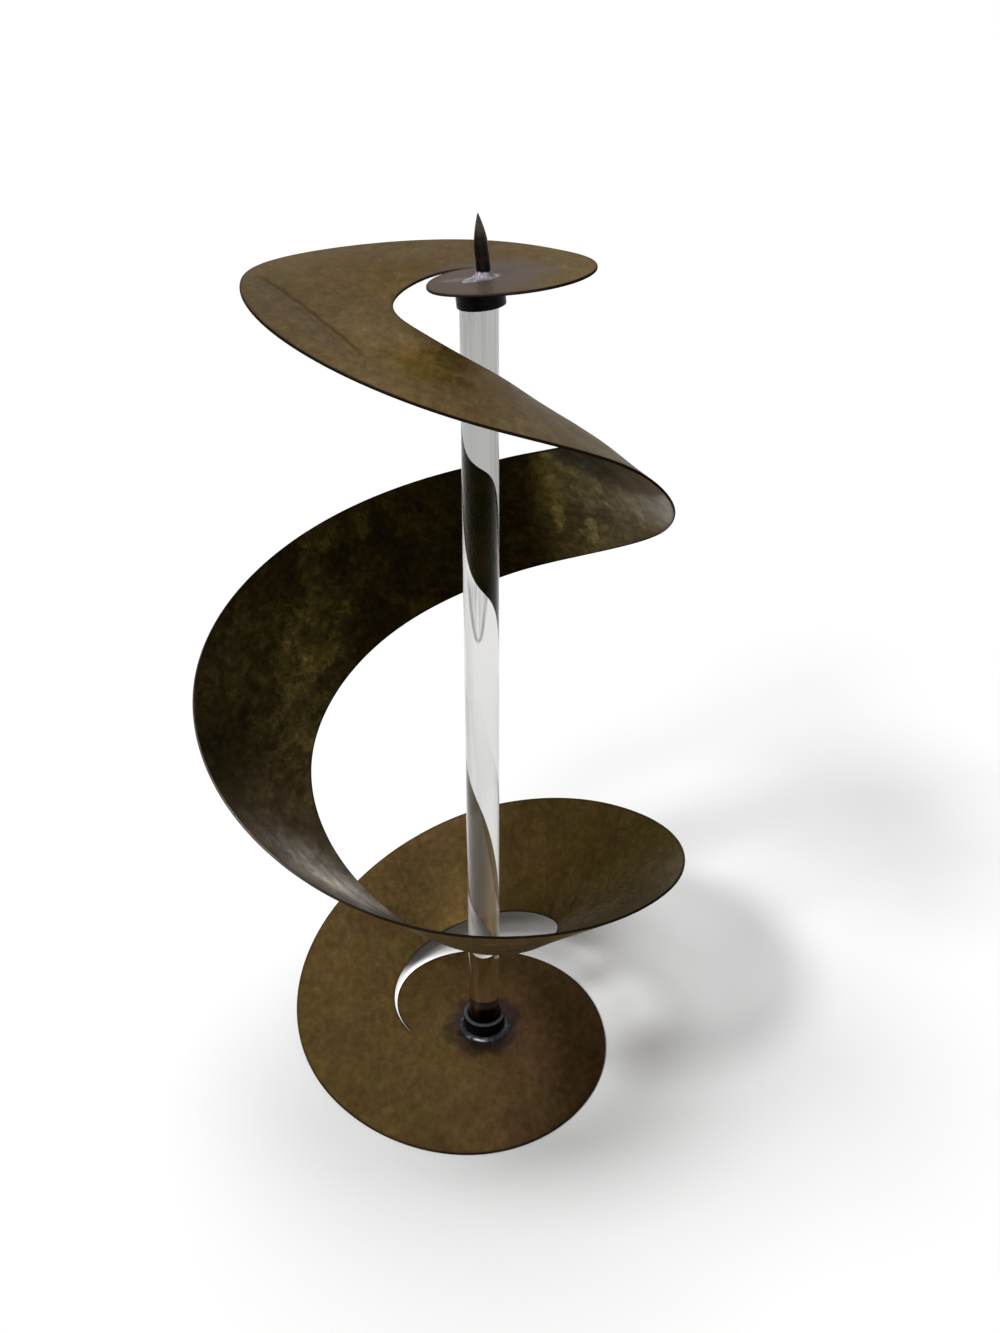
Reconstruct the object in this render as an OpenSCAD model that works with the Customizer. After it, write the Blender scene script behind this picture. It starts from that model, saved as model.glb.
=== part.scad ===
// Spiral pricket candle holder: one sheet of brass, cut along an S and pulled
// up round a clear column, is the foot, the ribbon and the crown.
// Z is up, the column's axis is the Z axis, and the table is the plane Z = 0.

/* [Spiral sheet] */
// Thickness of the brass sheet
sheet_thickness = 1.8; // [1:0.1:3]
// Width of the ribbon, the unit of the two edges' reach shares
ribbon_width = 100; // [70:1:140]
// Height of the crown above the table at the column, to the middle of the sheet
crown_height = 621; // [450:1:900]
// Lean of the crown, its right side up, in degrees
crown_tilt = 5.5; // [0:0.1:8]
// Width of the saw cut that parts the ribbon from the foot and the crown
saw_cut_width = 1.6; // [0.8:0.1:2.4]

/* [Column] */
// Diameter of the clear rod
rod_diameter = 25; // [16:0.5:32]
// Gap between the rod's top and the underside of the crown, on its low side
rod_end_gap = 0.4; // [0.2:0.1:2]
// Chamfer round both ends of the rod
rod_chamfer = 0.5; // [0.2:0.1:1.5]

/* [Sockets] */
// Gap all round between the rod and a socket's bore
socket_clearance = 0.15; // [0.05:0.05:0.5]
// Wall of the socket on the foot
lower_socket_wall = 4.3; // [2:0.1:7]
// Height of the socket on the foot
lower_socket_height = 15; // [8:0.5:25]
// Wall of the socket under the crown
upper_socket_wall = 1.6; // [1:0.1:5]
// Height of the socket under the crown
upper_socket_height = 15; // [8:0.5:20]
// Chamfer on the free rim of each socket
socket_chamfer = 0.4; // [0.1:0.1:0.8]

/* [Solder] */
// Radius of the hollow fillet round the lower socket
lower_solder_radius = 3; // [1.5:0.1:5]
// Radius of the hollow fillet round the upper socket
upper_solder_radius = 1.5; // [1:0.1:3]
// Radius of the hollow fillet round the spike's foot
spike_solder_radius = 4.5; // [2:0.1:7]
// Thickness of a fillet's thin edges
solder_lip = 0.3; // [0.2:0.05:0.6]

/* [Pricket spike] */
// Diameter of the spike's shaft
spike_diameter = 8.8; // [5:0.1:12]
// Length of the straight shaft above the crown
spike_shaft_length = 20; // [12:0.5:40]
// Length of the ground point
spike_point_length = 18.5; // [8:0.5:30]
// Diameter of the blunted tip
spike_tip_diameter = 0.7; // [0.4:0.1:2]
// Distance from the column's axis to the spike, towards the right
spike_offset = 3.4; // [0:0.1:8]
// Depth that the spike's foot is filed down all round, to be filled by the solder
spike_foot_depth = 0.4; // [0.3:0.1:1]

/* [Hidden] */

// Fineness of the round pieces
$fn = 96;

// Stations lie every eighth of a turn, counted clockwise from the left of the
// column. The foot edge is the rim of the foot and then the ribbon's outer,
// upper and last its inner edge. The crown edge starts a turn later, as the
// ribbon's inner edge, and ends as the rim of the crown.
station_angle = 45;
turn_stations = 360 / station_angle;
slit_angle = -5.625;
crown_start_angle = 1186.875;
slit_station = slit_angle / station_angle;
foot_end_station = slit_station + turn_stations;
crown_start_station = crown_start_angle / station_angle;
last_station = crown_start_station + turn_stations;
// The lists of shares start two stations ahead, as the smooth curve needs
lead_stations = 2;
foot_first_station = -lead_stations;
crown_first_station = foot_first_station + turn_stations;

// Reach of the foot edge from the column's axis, in ribbon widths
foot_edge_reach_shares = [
    -0.06, 0.31, 0.67, 0.98, 0.93, 0.96, 0.97, 1.14, 1.39, 1.38, 1.54,
    1.86, 1.99, 1.75, 1.56, 1.40, 1.56, 1.82, 2.19, 1.69, 0.46,
    0.67, 0.77, 0.38, 0.44, 0.50, 0.56, 0.38, 0.22, 0.31, 0.57];
// Rise of the foot edge from the foot, 0, to the crown, 1
foot_edge_rise_shares = [
    0, 0, 0, 0, 0, 0, 0, 0, 0, 0, 0,
    0.045, 0.145, 0.21, 0.275, 0.325, 0.37, 0.43, 0.57, 0.685, 0.775,
    0.78, 0.825, 0.895, 0.935, 0.975, 0.985, 1, 1, 1, 1];
// Reach of the crown edge from the column's axis, in ribbon widths
crown_edge_reach_shares = [
    0.10, 0.35, 0.64, 1.02, 1.07, 0.73, 0.52, 0.69, 0.92, 1.09, 1.37,
    1.03, 0.57, 0.92, 1.31, 1.35, 1.48, 1.45, 1.44, 1.67, 0.95,
    0.68, 0.80, 0.54, 0.36, 0.38, 0.32, 0.30, 0.27, 0.23, 0.21];
// Rise of the crown edge from the foot, 0, to the crown, 1
crown_edge_rise_shares = [
    0, 0, 0, 0, 0.055, 0.115, 0.17, 0.22, 0.25, 0.32, 0.435,
    0.55, 0.615, 0.63, 0.70, 0.855, 0.935, 1.005, 1.03, 1, 1,
    1, 1, 1, 1, 1, 1, 1, 1, 1, 1];

// Columns of the sheet's mesh in each station, and rows across its parts
station_columns = 8;
ribbon_rows = 4;
hub_rows = 3;

foot_middle = sheet_thickness / 2;
foot_columns = turn_stations * station_columns;
crown_column = (crown_start_station - slit_station) * station_columns;
last_column = (last_station - slit_station) * station_columns;
crown_columns = last_column - crown_column;
crown_normal = [-sin(crown_tilt), 0, cos(crown_tilt)];

lower_socket_radius = rod_diameter / 2 + socket_clearance + lower_socket_wall;
// The upper socket stands square to the crown, so it leans over the upright
// rod, and its bore is wide enough to clear the rod all the way
upper_bore_radius = rod_diameter / 2 + upper_socket_height * tan(crown_tilt)
                  + socket_clearance;
upper_socket_radius = upper_bore_radius + upper_socket_wall;
crown_underside = crown_height - foot_middle / cos(crown_tilt);
rod_top = crown_underside - rod_diameter / 2 * tan(crown_tilt) - rod_end_gap;
rod_length = rod_top - sheet_thickness;
spike_foot_radius = spike_diameter / 2 - spike_foot_depth;
spike_foot_length = spike_solder_radius + solder_lip;

// A smooth curve through the pull of a list of shares, at a station
function smooth(shares, first, station) =
    let(k = floor(station), t = station - k, i = k - first)
    (pow(1 - t, 3) * shares[i - 1]
    + (3 * pow(t, 3) - 6 * pow(t, 2) + 4) * shares[i]
    + (3 * t + 3 * pow(t, 2) - 3 * pow(t, 3) + 1) * shares[i + 1]
    + pow(t, 3) * shares[i + 2]) / 6;

// A point of the sheet's middle: out from the axis at a station, and up from
// the level foot towards the leaning crown
function sheet_point(station, reach, rise) =
    let(a = 180 - station_angle * station,
        x = reach * cos(a),
        y = reach * sin(a),
        climb = crown_height - foot_middle + x * tan(crown_tilt))
    [x, y, foot_middle + rise * climb];

// Reach and rise of the edges. The saw cut takes half its width off each.
function foot_edge_rise(s) = smooth(foot_edge_rise_shares, foot_first_station, s);
function foot_edge_reach(s) =
    ribbon_width * smooth(foot_edge_reach_shares, foot_first_station, s)
    + saw_cut_width * (foot_edge_rise(s) - 1 / 2);
function crown_edge_rise(s) = smooth(crown_edge_rise_shares, crown_first_station, s);
function crown_edge_reach(s) =
    ribbon_width * smooth(crown_edge_reach_shares, crown_first_station, s)
    - saw_cut_width * (crown_edge_rise(s) - 1 / 2);
function foot_edge(s) = sheet_point(s, foot_edge_reach(s), foot_edge_rise(s));
function crown_edge(s) = sheet_point(s, crown_edge_reach(s), crown_edge_rise(s));

// Inside the foot and the crown the sheet has a round hub. Its rim starts at
// the slit's end and draws in as the ribbon beside it grows to its width.
foot_hub_share = crown_edge_reach(foot_end_station) / foot_edge_reach(foot_end_station);
crown_hub_share = foot_edge_reach(crown_start_station) / crown_edge_reach(crown_start_station);
function drawn_in(hub_share, turns) = 1 - (1 - hub_share) * sqrt(max(turns, 0));
function foot_hub_edge(s) =
    let(in = drawn_in(foot_hub_share, (s - slit_station) / turn_stations))
    sheet_point(s, foot_edge_reach(s) * in, 0);
function crown_hub_edge(s) =
    let(in = drawn_in(crown_hub_share, (last_station - s) / turn_stations))
    sheet_point(s, crown_edge_reach(s) * in, 1);

// The two sides of the band that runs from slit to slit
function near_side(s) = s < foot_end_station ? foot_hub_edge(s) : crown_edge(s);
function far_side(s) = s > crown_start_station ? crown_hub_edge(s) : foot_edge(s);

function mix(a, b, share) = a + (b - a) * share;
function unit(v) = v / norm(v);

// Where the band lies flat its normal is known, and elsewhere it is square to
// the way along the band and the way across it
slope_step_share = 1 / 64;
function band_point(s, share) = mix(near_side(s), far_side(s), share);
function band_normal(s, share) =
    let(along = band_point(s + slope_step_share, share) - band_point(s, share),
        across = far_side(s) - near_side(s))
    unit(cross(along, across));
function column_station(i) = slit_station + i / station_columns;

// Rows and columns of the band: a point and its normal for each
function band_vertex(i, j) =
    let(s = column_station(i), share = j / ribbon_rows)
    i == 0 ? [foot_edge(s), [0, 0, 1]]
    : i < foot_columns && j == 0 ? [foot_hub_edge(s), [0, 0, 1]]
    : i == last_column ? [crown_edge(s), -crown_normal]
    : i > crown_column && j == ribbon_rows ? [crown_hub_edge(s), -crown_normal]
    : [band_point(s, share), band_normal(s, share)];
band = [for (i = [0 : last_column]) for (j = [0 : ribbon_rows]) band_vertex(i, j)];

// The hubs: rings inside their rims, and the two centres last
function foot_rim_point(i) = band[band_id(i, 0)][0];
function crown_rim_point(i) = band[band_id(i == 0 ? last_column : crown_column + i, ribbon_rows)][0];
foot_centre = [0, 0, foot_middle];
crown_centre = [0, 0, crown_height];
hubs = concat(
    [for (i = [0 : foot_columns - 1]) for (j = [1 : hub_rows - 1])
        [mix(foot_centre, foot_rim_point(i), j / hub_rows), [0, 0, 1]]],
    [for (i = [0 : crown_columns - 1]) for (j = [1 : hub_rows - 1])
        [mix(crown_centre, crown_rim_point(i), j / hub_rows), -crown_normal]],
    [[foot_centre, [0, 0, 1]], [crown_centre, -crown_normal]]);

vertices = concat(band, hubs);
vertex_count = len(vertices);
top_points = [for (v = vertices) v[0] + v[1] * sheet_thickness / 2];
under_points = [for (v = vertices) v[0] - v[1] * sheet_thickness / 2];

// Places in the list of vertices. The band's first and last columns each
// close up to one point, the end of a slit.
function band_id(i, j) =
    i * (ribbon_rows + 1) + (i == 0 || i == last_column ? 0 : j);
function ring_id(ring, j) =
    (last_column + 1) * (ribbon_rows + 1) + ring * (hub_rows - 1) + j - 1;
foot_centre_id = vertex_count - 2;
crown_centre_id = vertex_count - 1;
function foot_hub_id(i, j) =
    j == 0 ? foot_centre_id
    : j == hub_rows ? band_id(i % foot_columns, 0)
    : ring_id(i % foot_columns, j);
function crown_hub_id(i, j) =
    j == 0 ? crown_centre_id
    : j == hub_rows
        ? band_id(i % crown_columns == 0 ? last_column : crown_column + i, ribbon_rows)
    : ring_id(foot_columns + i % crown_columns, j);

// A four-sided patch as two triangles, less any that has closed up
function patch(a, b, c, d) =
    [for (f = [[a, b, c], [a, c, d]]) if (f[0] != f[1] && f[1] != f[2] && f[2] != f[0]) f];

top_faces = concat(
    [for (i = [0 : last_column - 1]) for (j = [0 : ribbon_rows - 1])
        each patch(band_id(i, j), band_id(i, j + 1), band_id(i + 1, j + 1), band_id(i + 1, j))],
    [for (i = [0 : foot_columns - 1]) for (j = [0 : hub_rows - 1])
        each patch(foot_hub_id(i, j), foot_hub_id(i, j + 1),
                   foot_hub_id(i + 1, j + 1), foot_hub_id(i + 1, j))],
    [for (i = [0 : crown_columns - 1]) for (j = [0 : hub_rows - 1])
        each patch(crown_hub_id(i, j + 1), crown_hub_id(i, j),
                   crown_hub_id(i + 1, j), crown_hub_id(i + 1, j + 1))],
    [[band_id(foot_columns - 1, 0), band_id(foot_columns, 0), band_id(0, 0)],
     [band_id(crown_column + 1, ribbon_rows), band_id(crown_column, ribbon_rows),
      band_id(last_column, 0)]]);
under_faces = [for (f = top_faces) [f[2], f[1], f[0]] + vertex_count * [1, 1, 1]];

// The sheet's one closed edge: out along the foot edge, back along the other
rim = concat(
    [for (i = [0 : crown_column]) band_id(i, ribbon_rows)],
    [for (i = [last_column : -1 : foot_columns]) band_id(i, 0)]);
rim_faces = [for (k = [0 : len(rim) - 1])
    let(a = rim[k], b = rim[(k + 1) % len(rim)])
    each patch(a, a + vertex_count, b + vertex_count, b)];

// A hollow quarter-round fillet between a post's wall and the plate under it
module solder_fillet(post_radius, fillet_radius) {
    size = fillet_radius + solder_lip;
    rotate_extrude()
        translate([post_radius, 0])
            difference() {
                square(size);
                translate([size, size])
                    circle(r = fillet_radius);
            }
}

// A round collar with its far rim chamfered inside and out
module collar(bore_radius, outer_radius, height) {
    rotate_extrude()
        polygon([
            [bore_radius, 0],
            [outer_radius, 0],
            [outer_radius, height - socket_chamfer],
            [outer_radius - socket_chamfer, height],
            [bore_radius + socket_chamfer, height],
            [bore_radius, height - socket_chamfer]]);
}

// Puts what stands on or hangs from the crown square to it
module at_crown() {
    translate([0, 0, crown_height])
        rotate([0, -crown_tilt, 0])
            children();
}

module spiral_sheet() {
    color([0.36, 0.30, 0.18])
        polyhedron(
            points = concat(top_points, under_points),
            faces = concat(top_faces, under_faces, rim_faces),
            convexity = 12);
}

module column_rod() {
    color([0.85, 0.88, 0.88, 0.45])
        translate([0, 0, sheet_thickness])
            rotate_extrude()
                polygon([
                    [0, 0],
                    [rod_diameter / 2 - rod_chamfer, 0],
                    [rod_diameter / 2, rod_chamfer],
                    [rod_diameter / 2, rod_length - rod_chamfer],
                    [rod_diameter / 2 - rod_chamfer, rod_length],
                    [0, rod_length]]);
}

module lower_socket() {
    color([0.07, 0.07, 0.08])
        translate([0, 0, sheet_thickness])
            collar(rod_diameter / 2 + socket_clearance, lower_socket_radius, lower_socket_height);
}

module lower_solder() {
    color([0.42, 0.42, 0.45])
        translate([0, 0, sheet_thickness])
            solder_fillet(lower_socket_radius, lower_solder_radius);
}

module upper_socket() {
    color([0.07, 0.07, 0.08])
        at_crown()
            translate([0, 0, -sheet_thickness / 2])
                mirror([0, 0, 1])
                    collar(upper_bore_radius, upper_socket_radius, upper_socket_height);
}

module upper_solder() {
    color([0.42, 0.42, 0.45])
        at_crown()
            translate([0, 0, -sheet_thickness / 2])
                mirror([0, 0, 1])
                    solder_fillet(upper_socket_radius, upper_solder_radius);
}

module pricket_spike() {
    // The point swells out in a soft curve, given in shares of its own size
    point_height_shares = [0.35, 0.65, 0.85];
    point_radius_shares = [0.83, 0.54, 0.28];
    shaft_radius = spike_diameter / 2;
    color([0.16, 0.13, 0.12])
        at_crown()
            translate([spike_offset, 0, sheet_thickness / 2])
                rotate_extrude()
                    polygon(concat(
                        [[0, 0],
                         [spike_foot_radius, 0],
                         [spike_foot_radius, spike_foot_length],
                         [shaft_radius, spike_foot_length],
                         [shaft_radius, spike_shaft_length]],
                        [for (k = [0 : len(point_height_shares) - 1])
                            [shaft_radius * point_radius_shares[k],
                             spike_shaft_length + spike_point_length * point_height_shares[k]]],
                        [[spike_tip_diameter / 2, spike_shaft_length + spike_point_length],
                         [0, spike_shaft_length + spike_point_length]]));
}

module spike_solder() {
    color([0.72, 0.72, 0.74])
        at_crown()
            translate([spike_offset, 0, sheet_thickness / 2])
                solder_fillet(spike_foot_radius, spike_solder_radius);
}

spiral_sheet();
column_rod();
lower_socket();
lower_solder();
upper_socket();
upper_solder();
pricket_spike();
spike_solder();
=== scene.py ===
import bpy
import math
import numpy as np
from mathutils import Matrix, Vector


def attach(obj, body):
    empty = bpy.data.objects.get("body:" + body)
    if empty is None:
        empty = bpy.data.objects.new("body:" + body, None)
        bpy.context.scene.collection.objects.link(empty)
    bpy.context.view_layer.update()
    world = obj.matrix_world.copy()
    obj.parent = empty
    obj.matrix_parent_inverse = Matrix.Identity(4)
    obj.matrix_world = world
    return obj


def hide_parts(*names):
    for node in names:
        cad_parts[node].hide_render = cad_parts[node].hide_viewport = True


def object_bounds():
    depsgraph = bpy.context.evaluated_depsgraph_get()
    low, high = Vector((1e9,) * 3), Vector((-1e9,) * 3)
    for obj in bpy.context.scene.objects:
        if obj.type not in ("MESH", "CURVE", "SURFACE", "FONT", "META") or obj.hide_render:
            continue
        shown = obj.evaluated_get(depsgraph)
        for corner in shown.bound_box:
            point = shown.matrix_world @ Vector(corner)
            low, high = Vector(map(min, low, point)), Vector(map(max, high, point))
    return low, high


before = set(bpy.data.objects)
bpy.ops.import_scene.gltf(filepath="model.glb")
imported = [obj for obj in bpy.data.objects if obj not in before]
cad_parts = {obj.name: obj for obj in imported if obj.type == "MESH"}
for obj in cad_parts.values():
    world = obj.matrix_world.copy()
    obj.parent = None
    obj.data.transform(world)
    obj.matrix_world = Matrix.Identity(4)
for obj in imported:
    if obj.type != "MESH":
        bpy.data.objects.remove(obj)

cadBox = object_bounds()
print("frame:", len(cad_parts), "nodes")


# small mesh helpers, metres everywhere

def gridFaces(rows, columns, wrapRows=False, wrapColumns=False):
    # the four corners of every patch of a rows x columns grid
    i = np.arange(rows if wrapRows else rows - 1)
    j = np.arange(columns if wrapColumns else columns - 1)
    i, j = [a.ravel() for a in np.meshgrid(i, j, indexing="ij")]
    down, right = (i + 1) % rows, (j + 1) % columns
    return np.stack([i * columns + j, down * columns + j, down * columns + right, i * columns + right], 1)


def enclosed(points, faces):
    # signed volume: each face fanned from its first corner, a . (b x c) / 6
    total = 0.0
    for f in faces:
        for k in range(1, f.shape[1] - 1):
            a, b, c = points[f[:, 0]], points[f[:, k]], points[f[:, k + 1]]
            total += (a * np.cross(b, c)).sum() / 6
    return total


def buildPiece(name, points, faces, marks=None):
    # an object at the origin, faces turned outwards, with a value per point for each mark
    if enclosed(points, faces) < 0:
        faces = [f[:, ::-1] for f in faces]
    mesh = bpy.data.meshes.new(name)
    mesh.from_pydata(points.tolist(), [], [c for f in faces for c in f.tolist()])
    mesh.polygons.foreach_set("use_smooth", np.ones(len(mesh.polygons), bool))
    for label, values in (marks or {}).items():
        spots = mesh.attributes.new(label, "FLOAT", "POINT").data
        spots.foreach_set("value", np.asarray(values, np.float32))
    mesh.update()
    piece = bpy.data.objects.new(name, mesh)
    bpy.context.scene.collection.objects.link(piece)
    return piece


def softCorners(corners, radius, steps=5):
    # every corner c becomes (1-t)^2 a + 2t(1-t) c + t^2 b, with a and b a radius away on its two sides
    corners = np.asarray(corners, float)
    def along(other):
        side = other - corners
        share = np.minimum(np.asarray(radius) / np.linalg.norm(side, axis=1), 0.45)
        return (corners + side * share[:, None])[:, None]
    a, b = along(np.roll(corners, 1, 0)), along(np.roll(corners, -1, 0))
    t = np.linspace(0, 1, steps)[None, :, None]
    return ((1 - t) ** 2 * a + 2 * t * (1 - t) * corners[:, None] + t ** 2 * b).reshape(-1, 2)


def holdFlats(outline, gap):
    # two more points on every side, a gap inside its ends, so that its middle shades flat
    side = np.roll(outline, -1, 0) - outline
    share = np.minimum(gap / np.maximum(np.linalg.norm(side, axis=1), 1e-9), 1 / 3)[:, None]
    return np.stack([outline, outline + side * share, outline + side * (1 - share)], 1).reshape(-1, 2)


def turned(outline, sides, shape=None):
    # an outline of (radius, height) carried round the axis: (radius cos a, radius sin a, height)
    angle = np.linspace(0, 2 * np.pi, sides, endpoint=False)[:, None]
    radius, height = [np.broadcast_to(line, (sides, len(outline))) for line in outline.T]
    if shape:
        radius, height = shape(angle, radius, height)
    return np.stack([radius * np.cos(angle), radius * np.sin(angle), height], -1).reshape(-1, 3)


def turnedRing(name, outline, sides, shape=None, place=None):
    # for a closed outline
    points = turned(outline, sides, shape)
    points = place(points) if place else points
    return buildPiece(name, points, [gridFaces(sides, len(outline), True, True)])


def turnedPost(name, outline, sides, shape=None, place=None):
    # for an open outline that starts and ends on the axis; both ends close in one point each
    count = len(outline) - 2
    ends = [[0, 0, outline[0, 1]], [0, 0, outline[-1, 1]]]
    points = np.concatenate([turned(outline[1:-1], sides, shape), ends])
    k = np.arange(sides)
    n = (k + 1) % sides
    first, last = np.full(sides, sides * count), np.full(sides, sides * count + 1)
    caps = np.concatenate([np.stack([first, n * count, k * count], 1),
                           np.stack([last, k * count + count - 1, n * count + count - 1], 1)])
    points = place(points) if place else points
    return buildPiece(name, points, [gridFaces(sides, count, True, False), caps])


def unevenness(angle, seed, waves=(2, 3, 5, 8)):
    # a sum of a few waves round the axis, sizes and starts drawn once from the seed, about -1 to 1
    draw = np.random.default_rng(seed)
    size = draw.uniform(0.4, 1, len(waves)) / np.sqrt(waves)
    start = draw.uniform(0, 2 * np.pi, len(waves))
    return (size * np.cos(angle[..., None] * np.array(waves) + start)).sum(-1)


def bell(value, centre, width):
    # 1 at the centre, exp(-1) a width away
    return np.exp(-((value - centre) / width) ** 2)


# the camera stands where the photograph was taken from

view = dict(place=(0.013, -0.867, 0.841), down=29.7, lens=50.4)
cameraData = bpy.data.cameras.new("photoView")
cameraData.lens, cameraData.sensor_width, cameraData.sensor_fit = view["lens"], 36, "HORIZONTAL"
cameraData.clip_end = 100
camera = bpy.data.objects.new("photoView", cameraData)
camera.location = view["place"]
camera.rotation_euler = (math.radians(90 - view["down"]), 0, 0)
bpy.context.scene.collection.objects.link(camera)
bpy.context.scene.camera = camera


# the brass sheet: foot, ribbon and crown in one surface

sheet = dict(
    thickness=0.0018, ribbonWidth=0.100, crownHeight=0.621, crownTilt=5.5, sawCut=0.0016,
    slitStart=-0.125, crownStart=26.375, turn=8,   # stations, eight to a turn
    columns=30, rows=24, hubRows=12,               # columns for each eighth of a turn
    evenRows=0.4,                                  # the rest of the rows crowd towards the edges
    edgeRound=0.00045,
    wave=0.00035,                                  # hand-bent unevenness of the ribbon
    swell=dict(station=20.6, reach=0.5, share=0.55, width=0.35, depth=0.0026),   # outwards, at the fold
    bendFrom=(-0.142, 0.024), bendTo=(-0.058, -0.104), bendDepth=0.0005, bendWidth=0.007,
    bendFades=(0.15, 0.25), crownAbove=0.55,
    footReach=[-0.06, 0.31, 0.67, 0.98, 0.93, 0.96, 0.97, 1.14, 1.39, 1.38, 1.54,
               1.86, 1.99, 1.75, 1.56, 1.40, 1.56, 1.82, 2.19, 1.69, 0.46,
               0.67, 0.77, 0.38, 0.44, 0.50, 0.56, 0.38, 0.22, 0.31, 0.57],
    footRise=[0, 0, 0, 0, 0, 0, 0, 0, 0, 0, 0,
              0.045, 0.145, 0.21, 0.275, 0.325, 0.37, 0.43, 0.57, 0.685, 0.775,
              0.78, 0.825, 0.895, 0.935, 0.975, 0.985, 1, 1, 1, 1],
    crownReach=[0.10, 0.35, 0.64, 1.02, 1.07, 0.73, 0.52, 0.69, 0.92, 1.09, 1.37,
                1.03, 0.57, 0.92, 1.31, 1.35, 1.48, 1.45, 1.44, 1.67, 0.95,
                0.68, 0.80, 0.54, 0.36, 0.38, 0.32, 0.30, 0.27, 0.23, 0.21],
    crownRise=[0, 0, 0, 0, 0.055, 0.115, 0.17, 0.22, 0.25, 0.32, 0.435,
               0.55, 0.615, 0.63, 0.70, 0.855, 0.935, 1.005, 1.03, 1, 1,
               1, 1, 1, 1, 1, 1, 1, 1, 1, 1],
)


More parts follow.
